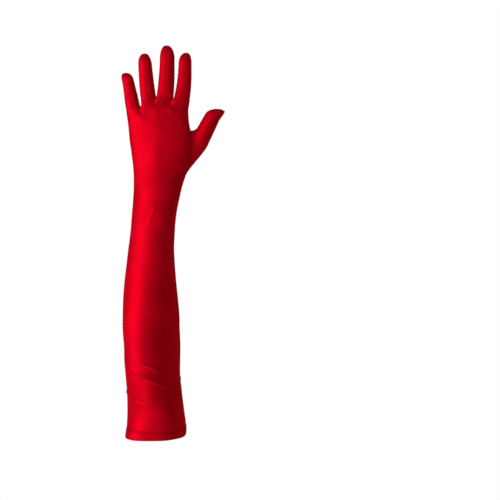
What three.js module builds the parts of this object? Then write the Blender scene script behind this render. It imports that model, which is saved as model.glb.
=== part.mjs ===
// Long dress glove of stretch satin, in the form that it has on a raised left arm.
// Millimetres. +Z points up to the fingertips, +X to the thumb's side, and -Y out of the back of the hand.
// The origin is the centre of the arm opening, level with the hem's lower edge.
//
// The glove is cut and sewn from cloth: a back and a palm panel from the hem to the fingertips, each parted
// into a sleeve and a hand at the wrist, a fourchette in each gap between two fingers, a thumb set into the
// side seam, and a turned hem. Each surface is a function of a height, a place across and an inset from the
// outer face, so that two pieces that meet at a seam share one line, and the wall's inner face is the same
// function at CLOTH.
import * as THREE from "three";

// Arm and palm
const ARM_LENGTH = 325; // hem's lower edge to the crease of the wrist
const PALM_LENGTH = 122; // crease of the wrist to the highest web between two fingers
const OPENING_WIDTH = 79.5;
const OPENING_DEPTH = 82;
const OPENING_SLOPE = 0.024; // the hem is lower on the little finger's side, by this much per mm across
const PALM_DEPTH = 36;
const KNUCKLE_LENGTH = 14; // stretch below the webs where the palm turns into four fingers

// Cloth and seams
const CLOTH = 1;
const SEAM_GAP = 0.3;
const HEM_HEIGHT = 12;
const HEM_CLOTH = 2;
const HEM_PROUD = 0.5; // how far the turned hem stands out of the panels

// Webs and fourchettes
const WEB_GAP = 1.3; // between the sides of two fingers at the bottom of their web
const WEB_ROUND = 5; // height of a web's round bottom
const WEB_DROP_BACK = 3.5; // from the top of a web down to the slit in the back panel
const WEB_DROP_PALM = 4;
const WEB_ARCH = 2.5; // power of that drop's curve over the web
const WEB_SET = 2.6; // a web's bottom comes forward at the back panel to this far below the fingers' backs
const WEB_BLEND = 17; // height over which its sides go back to their places on the fingers
const FOURCHETTE_HALF = THREE.MathUtils.degToRad(38); // half its width, as an angle round the finger
const FOURCHETTE_TAPER = 0.35; // share of the finger's length where it starts to narrow
const FOURCHETTE_POINT = 0.89; // and where its edges would meet

// Thumb: a tube on a base ring beside the palm, joined to a pointed oval seam in the side of the hand
const THUMB_WIDTH = 22.4;
const THUMB_DEPTH = 20.5;
const THUMB_LENGTH = 39.5; // base ring to tip
const THUMB_LEAN = THREE.MathUtils.degToRad(28);
const THUMB_RISE = 73; // crease of the wrist up to the base ring's centre
const THUMB_REACH = 16.6; // side of the hand out to the base ring's centre
const THUMB_FORWARD = 9; // the base ring's centre lies this far to the palm side
const THUMB_CURL = -3; // and the tip this much further
const THUMB_SLIM = 0.86; // width near the tip, as a share of the width at the base ring
const THUMB_SKEW = 0.38; // the tip is this share of the width off centre, to the outer side
const THUMB_DOME = 0.7; // height of the round end, as a share of the width
const THUMB_SLANT = 0.2; // the base ring is this share of the width lower on the outer side
const THUMB_HEEL = 1.7; // swelling of the cloth under the thumb's outer side
const THUMB_SEAM_LOW = 18; // crease of the wrist up to the seam's lower point
const THUMB_SEAM_HIGH = 79;
const THUMB_SEAM_BACK = THREE.MathUtils.degToRad(18); // how far the seam swings into the back
const THUMB_SEAM_PALM = THREE.MathUtils.degToRad(60);
const JOIN_START = 0.8; // how strongly the join leaves the seam, as a share of its own length
const JOIN_END = 0.7; // and how strongly it arrives at the base ring
const JOIN_LEAST = 14; // length that a shorter join is taken to have

const FINGER_WIDTH = 21.8; // the middle finger's, at its root
const FINGER_DEPTH = 19.4;
const FINGER_LENGTH = 68.2; // the middle finger's, from its root to its tip
const FINGER_SQUARE = 2.5; // roundness of a finger's section, as in the tables of sections
const TIP_FLAT = 0.25; // the seam over a fingertip is this share as long as the finger is wide there
const JOINT_SHARE = 0.75; // the width at the last joint is reached this far up the finger
const FINGERS_SHIFT = 0.021; // of the fingers to the thumb's side, as a share of their whole width

// The fingers. width, depth and length are shares of the middle finger's, and drop, how far the root lies
// below the end of the palm, is a share of its length. lean is in degrees to the thumb's side. slim, the
// width at the last joint, and bow, skew and dome, which are a sideways bend, the tip's way off centre and
// the round end's height, are shares of the finger's own width, and blunt is the round end's power. set
// is how far the root lies to the palm side and curl adds to it at the tip, as shares of FINGER_DEPTH.
// turn, in degrees, is how far the finger shows its thumb side.
const FINGERS = [
  { name: "little", width: 0.885, depth: 0.845, length: 0.66, drop: 0.167, lean: -11.2, slim: 0.82,
    bow: 0.02, skew: -0.03, dome: 0.55, blunt: 2.6, set: -0.05, curl: 0.1, turn: 18 },
  { name: "ring", width: 0.935, depth: 0.99, length: 0.857, drop: 0, lean: -5.2, slim: 0.885,
    bow: -0.035, skew: 0, dome: 0.7, blunt: 2, set: -0.04, curl: 0.02, turn: 24 },
  { name: "middle", width: 1, depth: 1, length: 1, drop: 0, lean: 2.2, slim: 0.9,
    bow: 0.05, skew: -0.03, dome: 0.76, blunt: 2, set: -0.03, curl: -0.02, turn: 36 },
  { name: "index", width: 0.94, depth: 0.96, length: 0.88, drop: 0.029, lean: 3.5, slim: 0.83,
    bow: 0.085, skew: 0.08, dome: 0.66, blunt: 2.1, set: 0.02, curl: -0.04, turn: 24 },
];

// Sections of the arm. up is a share of ARM_LENGTH, shift and width are shares of OPENING_WIDTH, and back
// and palm, the depths to either side, are shares of OPENING_DEPTH. square is the section's roundness:
// 2 is an ellipse, and more is boxier.
const ARM_SECTIONS = [
  { up: 0, shift: 0, width: 1, back: 0.5, palm: 0.5, square: 2.5 },
  { up: 0.045, shift: 0.008, width: 0.984, back: 0.497, palm: 0.497, square: 2.3 },
  { up: 0.11, shift: -0.008, width: 0.95, back: 0.49, palm: 0.487, square: 2 },
  { up: 0.175, shift: -0.025, width: 0.917, back: 0.49, palm: 0.47, square: 2 },
  { up: 0.24, shift: -0.05, width: 0.9, back: 0.492, palm: 0.455, square: 2 },
  { up: 0.305, shift: -0.06, width: 0.916, back: 0.48, palm: 0.452, square: 2 },
  { up: 0.37, shift: -0.062, width: 0.925, back: 0.464, palm: 0.452, square: 2 },
  { up: 0.436, shift: -0.079, width: 0.936, back: 0.452, palm: 0.452, square: 2 },
  { up: 0.5, shift: -0.083, width: 0.938, back: 0.438, palm: 0.44, square: 2 },
  { up: 0.567, shift: -0.092, width: 0.905, back: 0.418, palm: 0.415, square: 2 },
  { up: 0.632, shift: -0.095, width: 0.859, back: 0.388, palm: 0.38, square: 2 },
  { up: 0.697, shift: -0.09, width: 0.811, back: 0.352, palm: 0.344, square: 2 },
  { up: 0.7625, shift: -0.079, width: 0.769, back: 0.32, palm: 0.312, square: 2 },
  { up: 0.828, shift: -0.058, width: 0.747, back: 0.3, palm: 0.288, square: 2 },
  { up: 0.893, shift: -0.034, width: 0.75, back: 0.285, palm: 0.272, square: 2 },
  { up: 0.958, shift: -0.002, width: 0.778, back: 0.27, palm: 0.264, square: 2 },
];

// Sections of the hand. up is a share of PALM_LENGTH from the wrist, shift and width are shares of the
// four fingers' whole width, and back and palm are shares of PALM_DEPTH.
const HAND_SECTIONS = [
  { up: 0.025, shift: 0.028, width: 0.755, back: 0.59, palm: 0.598, square: 2.05 },
  { up: 0.148, shift: 0.056, width: 0.81, back: 0.545, palm: 0.6, square: 2.05 },
  { up: 0.262, shift: 0.08, width: 0.883, back: 0.5, palm: 0.596, square: 2.05 },
  { up: 0.426, shift: 0.079, width: 0.939, back: 0.455, palm: 0.566, square: 2.1 },
  { up: 0.533, shift: 0.066, width: 0.96, back: 0.432, palm: 0.53, square: 2.1 },
  { up: 0.627, shift: 0.055, width: 0.96, back: 0.412, palm: 0.486, square: 2.1 },
  { up: 0.713, shift: 0.038, width: 0.95, back: 0.396, palm: 0.444, square: 2.15 },
  { up: 0.8, shift: 0.023, width: 0.962, back: 0.371, palm: 0.4, square: 2.15 },
  { up: 0.885, shift: 0.004, width: 1, back: 0.337, palm: 0.345, square: 2.15 },
  { up: 0.975, shift: 0.003, width: 1.03, back: 0.288, palm: 0.298, square: 2.15 },
  { up: 1.106, shift: 0.001, width: 1.08, back: 0.25, palm: 0.27, square: 2.15 },
];

// How far the sections lean at places up the arm and hand: up is a share of ARM_LENGTH, and the section's
// thumb side comes forward by lean mm per mm across.
const LEANS = [
  { up: 0, lean: 0.05 },
  { up: 0.1, lean: 0.14 },
  { up: 0.21, lean: 0.02 },
  { up: 0.36, lean: -0.13 },
  { up: 0.55, lean: 0.04 },
  { up: 0.67, lean: 0.1 },
  { up: 0.8, lean: 0.16 },
  { up: 0.92, lean: 0.2 },
  { up: 1.06, lean: 0.17 },
  { up: 1.3, lean: 0.17 },
  { up: 1.5, lean: 0.13 },
  { up: 1.6, lean: 0.13 },
];

// Folds of the cloth over the elbow, pressed into the back panel. up is a share of ARM_LENGTH and side a
// share of OPENING_WIDTH, both at the fold's middle. long, broad and deep are shares of OPENING_WIDTH,
// and fall is the fold's slope in degrees, down to the thumb's side.
const FOLDS = [
  { up: 0.279, side: -0.13, long: 0.2, broad: 0.045, deep: 0.016, fall: 27 },
  { up: 0.226, side: -0.11, long: 0.32, broad: 0.05, deep: 0.022, fall: 27 },
  { up: 0.132, side: -0.18, long: 0.22, broad: 0.05, deep: 0.011, fall: 19 },
];

// Shares of the way up a finger at which its rows of facets lie, closer at the web and at the round tip.
const FINGER_ROWS = [0, 0.012, 0.04, 0.09, 0.17, 0.28, 0.41, 0.54, 0.66, 0.76, 0.85, 0.92, 0.97, 1];
const FOURCHETTE_ROWS = 10; // the fourchettes end below the tip, at this row
const COLUMNS_PER_FINGER = 4;
const FOURCHETTE_COLUMNS = 3;
const ELBOW_SHARE = 0.34; // of the arm: the part with the folds, which has closer rows
const ELBOW_ROWS = 18;
const FOREARM_ROWS = 14;
const WRIST_ROWS = 1; // between the crease of the wrist and the thumb's seam
const THUMB_SEAM_ROWS = 10;
const KNUCKLE_ROWS = 5;
const THUMB_JOIN_ROWS = 7;
const THUMB_ROWS = [0, 0.2, 0.4, 0.58, 0.72, 0.83, 0.91, 0.965, 1];
const HEM_SEGMENTS = 40;

const BACK = -1;
const PALM = 1;
const SATIN = { color: 0xd4001f, roughness: 0.38, metalness: 0.15 };

const { clamp, degToRad, lerp, smoothstep } = THREE.MathUtils;
const point = (x, y, z) => new THREE.Vector3(x, y, z);
const between = (a, b, share) => a.clone().lerp(b, share);
const power = (value, exponent) => Math.sign(value) * Math.abs(value) ** exponent;

// A column of a table at a place between its rows, on a smooth curve through them.
function follow(rows, key, column, at) {
  const last = rows.length - 1;
  const slope = (a, b) => (rows[b][column] - rows[a][column]) / (rows[b][key] - rows[a][key]);
  let i = 0;
  while (i < last - 1 && rows[i + 1][key] < at) i += 1;
  const step = rows[i + 1][key] - rows[i][key];
  const t = clamp((at - rows[i][key]) / step, 0, 1);
  const start = slope(Math.max(i - 1, 0), i + 1) * step;
  const end = slope(i, Math.min(i + 2, last)) * step;
  const [from, to] = [rows[i][column], rows[i + 1][column]];
  const rise = to - from;
  return from + t * (start + t * (3 * rise - 2 * start - end + t * (start + end - 2 * rise)));
}

// Arm and palm
const fingers = FINGERS.map((row) => ({
  ...row,
  width: row.width * FINGER_WIDTH,
  depth: row.depth * FINGER_DEPTH,
  length: row.length * FINGER_LENGTH,
  drop: row.drop * FINGER_LENGTH,
  set: row.set * FINGER_DEPTH,
  curl: row.curl * FINGER_DEPTH,
  turn: degToRad(row.turn),
}));
const fingersWide = fingers.reduce((sum, finger) => sum + finger.width, WEB_GAP * (fingers.length - 1));
const palmTop = ARM_LENGTH + PALM_LENGTH;

function scaled(row, z, across, deep) {
  const { shift, width, back, palm, square } = row;
  const half = (width * across) / 2;
  return { z, half, square, shift: shift * across, back: back * deep, palm: palm * deep };
}

const sections = [
  ...ARM_SECTIONS.map((row) => scaled(row, row.up * ARM_LENGTH, OPENING_WIDTH, OPENING_DEPTH)),
  ...HAND_SECTIONS.map((row) => scaled(row, ARM_LENGTH + row.up * PALM_LENGTH, fingersWide, PALM_DEPTH)),
];

const leans = LEANS.map((row) => ({ z: row.up * ARM_LENGTH, lean: row.lean }));

// A point of the glove, moved to where it lies in its leaning section.
function leaning({ x, y, z }) {
  return point(x, y - follow(leans, "z", "lean", z) * (x - follow(sections, "z", "shift", z)), z);
}

function sectionAt(z) {
  const columns = ["shift", "half", "back", "palm", "square"];
  return Object.fromEntries(columns.map((column) => [column, follow(sections, "z", column, z)]));
}

// How far the folds press the back panel in: each is a groove that is deepest in its middle.
function foldDepth(x, z) {
  return FOLDS.reduce((sum, fold) => {
    const fall = degToRad(fold.fall);
    const right = x / OPENING_WIDTH - fold.side;
    const up = (z - fold.up * ARM_LENGTH) / OPENING_WIDTH;
    const lengthwise = (right * Math.cos(fall) - up * Math.sin(fall)) / fold.long;
    const crosswise = (right * Math.sin(fall) + up * Math.cos(fall)) / fold.broad;
    return sum + fold.deep * OPENING_WIDTH * Math.exp(-(lengthwise ** 4) - crosswise ** 2);
  }, 0);
}

// A point of the arm or palm. The angle runs from 0 on the thumb's side to PI on the little finger's.
function bodyPoint(z, angle, side, inset) {
  const section = sectionAt(z);
  const round = 2 / section.square;
  const x = section.shift + (section.half - inset) * power(Math.cos(angle), round);
  const pressed = side === BACK ? foldDepth(x, z) : 0;
  const deep = (side === BACK ? section.back : section.palm) - inset - pressed;
  const slope = OPENING_SLOPE * (1 - smoothstep(z, 0, ELBOW_SHARE * ARM_LENGTH));
  return point(x, side * deep * power(Math.sin(angle), round), z + x * slope);
}

// The angle of the body's outline at which it lies x from the middle.
function angleAt(z, x) {
  const section = sectionAt(z);
  const share = clamp((x - section.shift) / section.half, -1, 1);
  return Math.acos(power(share, section.square / 2));
}

// Fingers: each gets the place of its root from the widths and the gaps beside it
let nextEdge = sectionAt(palmTop).shift + fingersWide * FINGERS_SHIFT - fingersWide / 2;
for (const finger of fingers) {
  finger.rootX = nextEdge + finger.width / 2;
  finger.rootZ = palmTop - finger.drop;
  finger.tipZ = finger.rootZ + finger.length;
  nextEdge += finger.width + WEB_GAP;
}

// The width and depth that are left at a place in a round end: dome is 0 where it begins and 1 at its top.
function roundEnd(dome, blunt) {
  const flat = 1 - TIP_FLAT ** blunt;
  return { wide: (1 - flat * dome ** blunt) ** (1 / blunt), deep: Math.sqrt(1 - dome ** 2) };
}

// A point of a finger. The angle is 0 on the thumb's side and PI / 2 on the back of the hand.
function fingerPoint(finger, z, angle, side, inset) {
  const up = (z - finger.rootZ) / finger.length;
  const shoulder = finger.tipZ - finger.dome * finger.width;
  const dome = clamp((z - shoulder) / (finger.tipZ - inset - shoulder), 0, 1);
  const slim = lerp(1, finger.slim, smoothstep(up, 0, JOINT_SHARE));
  const end = roundEnd(dome, finger.blunt);
  const half = ((finger.width / 2) * slim - inset) * end.wide;
  const deep = ((finger.depth / 2) * slim - inset) * end.deep;
  const bend = 4 * finger.bow * clamp(up, 0, 1) * (1 - clamp(up, 0, 1)) + finger.skew * dome ** 2;
  const x = finger.rootX + (z - finger.rootZ) * Math.tan(degToRad(finger.lean)) + bend * finger.width;
  const y = finger.set + finger.curl * Math.max(up, 0) ** 2 + side * (SEAM_GAP / 2) * dome ** 2;
  const round = 2 / FINGER_SQUARE;
  return point(x + half * power(Math.cos(angle), round), y - deep * power(Math.sin(angle), round), z);
}

// Webs: the gap between finger number i and the next one to the thumb's side
const webs = fingers.slice(1).map((finger, i) => ({
  sides: [fingers[i], finger],
  top: palmTop - Math.max(finger.drop, fingers[i].drop),
}));

// Half the angle that a fourchette takes up on a finger, narrowing to its point below the tip. edge is 1
// for the fourchette, which keeps back from the seam, and -1 for the panels beside it.
function fourchetteHalf(finger, z, edge) {
  const up = (z - finger.rootZ) / finger.length;
  const narrow = clamp((up - FOURCHETTE_TAPER) / (FOURCHETTE_POINT - FOURCHETTE_TAPER), 0, 1);
  return FOURCHETTE_HALF * (1 - narrow ** 2) - (edge * SEAM_GAP) / finger.depth;
}

// The height of a web's bottom. across is 1 at the seam with the back panel and -1 at the palm's.
function webBottom(web, across, edge, inset) {
  const drop = across > 0 ? WEB_DROP_BACK : WEB_DROP_PALM;
  return web.top - (drop - edge * SEAM_GAP) * Math.abs(across) ** WEB_ARCH - inset;
}

// A point in the gap between two fingers. leg is 0 on the first finger's side and 1 on the next one's,
// and the two legs run together in a round bottom. Near it the web comes forward to the back panel.
function webPoint(web, leg, z, across, side, edge, inset) {
  const bottom = webBottom(web, across, edge, inset);
  const forward = (1 - smoothstep(z - bottom, 0, WEB_BLEND)) * Math.max(across, 0) ** 2;
  const walls = web.sides.map((finger, i) => {
    const place = (turn, depth) => {
      const angle = i === 0 ? finger.turn + turn : Math.PI + finger.turn - turn;
      return fingerPoint(finger, z, angle, side, depth);
    };
    const wall = place(fourchetteHalf(finger, z, edge) * across, inset);
    const seam = place(fourchetteHalf(finger, z, 0), 0).y;
    const crest = fingerPoint(finger, z, Math.PI / 2, side, 0).y + WEB_SET;
    return wall.setY(wall.y + (crest - seam) * forward);
  });
  const rise = clamp((z - bottom) / WEB_ROUND, 0, 1);
  return between(between(...walls, 0.5), walls[leg], Math.sqrt(1 - (1 - rise) ** 2));
}

// The side seam swings round the thumb as a pointed oval, wider into the palm than into the back.
const thumbLow = ARM_LENGTH + THUMB_SEAM_LOW;
const thumbHigh = ARM_LENGTH + THUMB_SEAM_HIGH;

function seamAngle(z, side) {
  const swing = side === BACK ? THUMB_SEAM_BACK : THUMB_SEAM_PALM;
  return swing * Math.sin(Math.PI * clamp((z - thumbLow) / (thumbHigh - thumbLow), 0, 1));
}

const dividers = [Math.PI, ...webs.map(webDivider), 0];

function webDivider(web) {
  const [left, right] = web.sides;
  return angleAt(web.top, (left.rootX + left.width / 2 + right.rootX - right.width / 2) / 2);
}

// The body's angle at a place across a panel: 0 is the little finger's side seam and 4 the thumb's.
function bodyAngle(across, z, side) {
  const i = Math.min(Math.floor(across), fingers.length - 1);
  const section = sectionAt(z);
  const deep = side === BACK ? section.back : section.palm;
  const gap = Math.asin((SEAM_GAP / 2 / deep) ** (section.square / 2));
  const share = 1 - lerp(dividers[i], dividers[i + 1], across - i) / Math.PI;
  return lerp(Math.PI - gap, seamAngle(z, side) + gap, share);
}

// The height at which the slits between the fingers start, at a place across a panel. At the two outer
// seams it is the same for both panels.
function slitHeight(across, side, inset) {
  const i = Math.min(Math.floor(across), fingers.length - 1);
  const share = across - i;
  const bottoms = [webs[i - 1], webs[i]].map((web) =>
    webBottom(web ?? webs[i === 0 ? 0 : i - 1], web && side === PALM ? -1 : 1, -1, inset));
  return lerp(...bottoms, smoothstep(share, 0, 1)) + WEB_DROP_PALM * Math.sin(Math.PI * share);
}

// A point of a finger's part of a panel: the finger's own surface, drawn to its seams at either edge.
// The angle round the finger falls from the little finger's side to the thumb's on the back, and rises
// on the palm.
function stripPoint(i, share, z, side, inset) {
  const finger = fingers[i];
  const onBack = side === BACK ? 1 : -1;
  const [seams, pulls] = [[], []];
  for (const edge of [0, 1]) {
    const web = webs[i - 1 + edge];
    const ulnar = edge ? -1 : 1;
    const turn = web ? fourchetteHalf(finger, z, -1) : SEAM_GAP / finger.depth;
    const seam = (web ? finger.turn : 0) - ulnar * onBack * turn;
    const angle = (edge ? (1 - onBack) * Math.PI : Math.PI) + seam;
    const own = fingerPoint(finger, z, angle, side, inset);
    seams.push(angle);
    pulls.push(web ? webPoint(web, 1 - edge, z, onBack, side, -1, inset).sub(own) : point(0, 0, 0));
  }
  return fingerPoint(finger, z, lerp(...seams, share), side, inset)
    .addScaledVector(pulls[0], (1 - share) ** 2)
    .addScaledVector(pulls[1], share ** 2);
}

// A point of the back or palm panel below the slits, where the palm turns into the fingers.
function panelPoint(across, z, side, inset) {
  const i = Math.min(Math.floor(across), fingers.length - 1);
  const slit = slitHeight(across, side, inset);
  const turned = smoothstep(z, slit - KNUCKLE_LENGTH, slit);
  const body = bodyPoint(z, bodyAngle(across, z, side), side, inset);
  return turned > 0 ? body.lerp(stripPoint(i, across - i, z, side, inset), turned) : body;
}

// A sheet of cloth: points on its outer and inner face, and the cells between them. Its geometry is the
// closed wall, with a rim along every open edge.
class Sheet {
  constructor() {
    this.outer = [];
    this.inner = [];
    this.cells = [];
  }

  add(at) {
    this.outer.push(leaning(at(0)));
    this.inner.push(leaning(at(CLOTH)));
    return this.outer.length - 1;
  }

  fill(rows) {
    for (let r = 1; r < rows.length; r += 1)
      for (let c = 1; c < rows[r].length; c += 1)
        this.cells.push([rows[r - 1][c - 1], rows[r - 1][c], rows[r][c], rows[r][c - 1]]);
  }

  geometry() {
    const count = this.outer.length;
    const edges = new Map();
    const triangles = [];
    for (const cell of this.cells) {
      cell.slice(2).forEach((last, i) => triangles.push([cell[0], cell[i + 1], last]));
      cell.forEach((from, i) => {
        const to = cell[(i + 1) % cell.length];
        if (!edges.delete(`${to} ${from}`)) edges.set(`${from} ${to}`, [from, to]);
      });
    }
    const inside = triangles.map(([a, b, c]) => [c + count, b + count, a + count]);
    const rim = [...edges.values()].flatMap(([a, b]) => [[b, a, a + count], [b, a + count, b + count]]);
    return closedGeometry([...this.outer, ...this.inner], [...triangles, ...inside, ...rim]);
  }
}

// A geometry of these points and triangles, with its faces turned outwards.
function closedGeometry(points, triangles) {
  const corner = ([a, b, c]) => points[a].dot(points[b].clone().cross(points[c]));
  const volume = triangles.reduce((sum, triangle) => sum + corner(triangle), 0);
  const order = volume < 0 ? triangles.map(([a, b, c]) => [a, c, b]) : triangles;
  const geometry = new THREE.BufferGeometry().setFromPoints(points);
  geometry.setIndex(order.flat());
  geometry.computeVertexNormals();
  return geometry;
}

// Evenly spread heights of rows of facets, without the last one.
function spread(from, to, rows) {
  return Array.from({ length: rows }, (_, i) => lerp(from, to, i / rows));
}

// A panel is two solids, which meet at the crease of the wrist. These are the heights of the sleeve's rows.
function sleeveHeights() {
  const [start, end] = [HEM_HEIGHT + SEAM_GAP, ARM_LENGTH - SEAM_GAP / 2];
  const elbow = ELBOW_SHARE * ARM_LENGTH;
  return [...spread(start, elbow, ELBOW_ROWS), ...spread(elbow, end, FOREARM_ROWS), end];
}

// The heights of the hand's rows, up to the slits between the fingers, at a place across the panel.
function handHeights(across, side, inset) {
  const slit = slitHeight(across, side, inset);
  return [
    ...spread(ARM_LENGTH + SEAM_GAP / 2, thumbLow, WRIST_ROWS),
    ...thumbSeamHeights().slice(0, -1),
    ...spread(thumbHigh, slit, KNUCKLE_ROWS),
    slit,
  ];
}

function thumbSeamHeights() {
  return Array.from({ length: THUMB_SEAM_ROWS + 1 }, (_, i) =>
    lerp(thumbLow, thumbHigh, (1 - Math.cos((Math.PI * i) / THUMB_SEAM_ROWS)) / 2));
}

// Fills a sheet with rows of facets right across a panel, and gives the last row.
function fillAcross(sheet, heights, side) {
  const columns = fingers.length * COLUMNS_PER_FINGER + 1;
  const acrosses = Array.from({ length: columns }, (_, c) => c / COLUMNS_PER_FINGER);
  const rowCount = heights(0, side, 0).length;
  const rows = Array.from({ length: rowCount }, (_, r) => acrosses.map((across) =>
    sheet.add((inset) => panelPoint(across, heights(across, side, inset)[r], side, inset))));
  sheet.fill(rows);
  return rows[rowCount - 1];
}

function sleeveGeometry(side) {
  const sheet = new Sheet();
  fillAcross(sheet, sleeveHeights, side);
  return sheet.geometry();
}

function handGeometry(side) {
  const sheet = new Sheet();
  const roots = fillAcross(sheet, handHeights, side);
  fingers.forEach((finger, i) => {
    const first = i * COLUMNS_PER_FINGER;
    const root = roots.slice(first, first + COLUMNS_PER_FINGER + 1);
    const above = FINGER_ROWS.slice(1).map((up) => root.map((_, c) => {
      const share = c / COLUMNS_PER_FINGER;
      return sheet.add((inset) => {
        const z = lerp(slitHeight(i + share, side, inset), finger.tipZ - inset, up);
        return stripPoint(i, share, z, side, inset);
      });
    }));
    sheet.fill([root, ...above]);
  });
  return sheet.geometry();
}

// A fourchette runs down the side of one finger, through the web and up the side of the next.
function fourchetteGeometry(web) {
  const sheet = new Sheet();
  const rowsUp = FINGER_ROWS.slice(0, FOURCHETTE_ROWS + 1);
  const down = rowsUp.slice(1).reverse().map((up) => ({ leg: 0, up }));
  const path = [...down, ...rowsUp.map((up) => ({ leg: 1, up }))];
  const rows = path.map(({ leg, up }) =>
    Array.from({ length: FOURCHETTE_COLUMNS + 1 }, (_, c) => {
      const across = 1 - (2 * c) / FOURCHETTE_COLUMNS;
      return sheet.add((inset) => {
        const z = lerp(webBottom(web, across, 1, inset), web.sides[leg].tipZ - inset, up);
        return webPoint(web, leg, z, across, 0, 1, inset);
      });
    }));
  sheet.fill(rows);
  return sheet.geometry();
}

// Thumb
const thumbOut = point(Math.cos(THUMB_LEAN), 0, -Math.sin(THUMB_LEAN));
const thumbUp = point(Math.sin(THUMB_LEAN), 0, Math.cos(THUMB_LEAN));

function thumbBase() {
  const z = ARM_LENGTH + THUMB_RISE;
  const hand = sectionAt(z);
  return point(hand.shift + hand.half + THUMB_REACH, THUMB_FORWARD, z);
}

// A point of the thumb's tube. up is a share of its length, and the angle is 0 on the outer side and
// PI / 2 on the back.
function thumbTube(up, angle, inset) {
  const shoulder = THUMB_LENGTH - THUMB_DOME * THUMB_WIDTH;
  const height = up * (THUMB_LENGTH - inset);
  const dome = clamp((height - shoulder) / (THUMB_LENGTH - inset - shoulder), 0, 1);
  const end = roundEnd(dome, 2);
  const slim = lerp(1, THUMB_SLIM, smoothstep(up, 0, 1));
  const half = ((THUMB_WIDTH / 2) * slim - inset) * end.wide;
  const deep = ((THUMB_DEPTH / 2) * slim - inset) * end.deep;
  const slant = THUMB_SLANT * THUMB_WIDTH * (1 - up) * Math.cos(angle);
  return thumbBase()
    .addScaledVector(thumbUp, height - slant)
    .addScaledVector(thumbOut, THUMB_SKEW * THUMB_WIDTH * dome ** 2 + half * Math.cos(angle))
    .add(point(0, THUMB_CURL * up ** 2 - deep * Math.sin(angle), 0));
}

// The place of the seam round the thumb, for the same angle.
function thumbSeamPlace(angle) {
  const z = lerp(thumbLow, thumbHigh, (1 - Math.cos(angle)) / 2);
  const side = Math.sin(angle) >= 0 ? BACK : PALM;
  return { z, side, turn: seamAngle(z, side) };
}

function thumbSeam(angle, inset) {
  const { z, side, turn } = thumbSeamPlace(angle);
  return bodyPoint(z, turn, side, inset);
}

// The direction in which the hand's surface runs on from there, to the middle of the opening.
function thumbSeamDirection(angle) {
  const step = 0.02;
  const { z, side, turn } = thumbSeamPlace(angle);
  const surface = (round, height) => bodyPoint(height, Math.abs(round), round < 0 ? BACK : PALM, 0);
  const around = surface(turn * side + step, z).sub(surface(turn * side - step, z)).normalize();
  const up = surface(turn * side, z + CLOTH).sub(surface(turn * side, z - CLOTH)).normalize();
  const inward = -side * Math.abs(Math.sin(angle)) ** 3;
  return up.multiplyScalar(Math.cos(angle)).addScaledVector(around, inward).normalize();
}

function joinLength(angle) {
  return Math.max(thumbSeam(angle, 0).distanceTo(thumbTube(0, angle, 0)), JOIN_LEAST);
}

// A point of the thumb's outer face. Below 0 it is the join, from the seam at -1 to the base ring: a curve
// that leaves along the hand's surface and arrives along the thumb, swollen on the outer side.
function thumbPoint(up, angle) {
  if (up >= 0) return thumbTube(up, angle, 0);
  const t = up + 1;
  const swell = THUMB_HEEL * Math.max(Math.cos(angle), 0) ** 2 * Math.sin(Math.PI * t ** 1.2);
  return thumbSeam(angle, 0).multiplyScalar(2 * t ** 3 - 3 * t ** 2 + 1)
    .addScaledVector(thumbSeamDirection(angle), JOIN_START * joinLength(angle) * (t ** 3 - 2 * t ** 2 + t))
    .addScaledVector(thumbTube(0, angle, 0), 3 * t ** 2 - 2 * t ** 3)
    .addScaledVector(thumbUp, JOIN_END * joinLength(angle) * (t ** 3 - t ** 2))
    .addScaledVector(thumbOut, swell);
}

function thumbNormal(up, angle) {
  const step = 0.01;
  const along = thumbPoint(up + step, angle).sub(thumbPoint(Math.max(up - step, -1), angle));
  const around = thumbPoint(up, angle + step).sub(thumbPoint(up, angle - step));
  return along.cross(around).normalize();
}

// From the outer face to the inner one, which in the join turns from the hand's inset to the thumb's.
function thumbInset(up, angle, inset) {
  if (up >= 0) return thumbTube(up, angle, inset).sub(thumbTube(up, angle, 0));
  const inward = thumbNormal(up, angle).multiplyScalar(-inset);
  const pressed = thumbSeam(angle, inset).sub(thumbSeam(angle, 0));
  return inward.lerp(pressed, 1 - smoothstep(up, -1, -0.8));
}

// Half of the thumb: its back or its palm side, parted along the thumb's two sides.
function thumbGeometry(side) {
  const sheet = new Sheet();
  const turn = (-side * Math.PI) / THUMB_SEAM_ROWS;
  const angles = Array.from({ length: THUMB_SEAM_ROWS + 1 }, (_, i) => i * turn);
  const joins = Array.from({ length: THUMB_JOIN_ROWS }, (_, i) => i / THUMB_JOIN_ROWS - 1);
  const rows = [...joins, ...THUMB_ROWS].map((up) => angles.map((angle) => {
    const gap = (1.5 * SEAM_GAP) / (JOIN_START * joinLength(angle));
    const place = Math.max(up, gap - 1);
    return sheet.add((inset) => thumbPoint(place, angle)
      .add(thumbInset(place, angle, inset))
      .add(point(0, (side * SEAM_GAP) / 2, 0)));
  }));
  sheet.fill(rows);
  return sheet.geometry();
}

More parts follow.
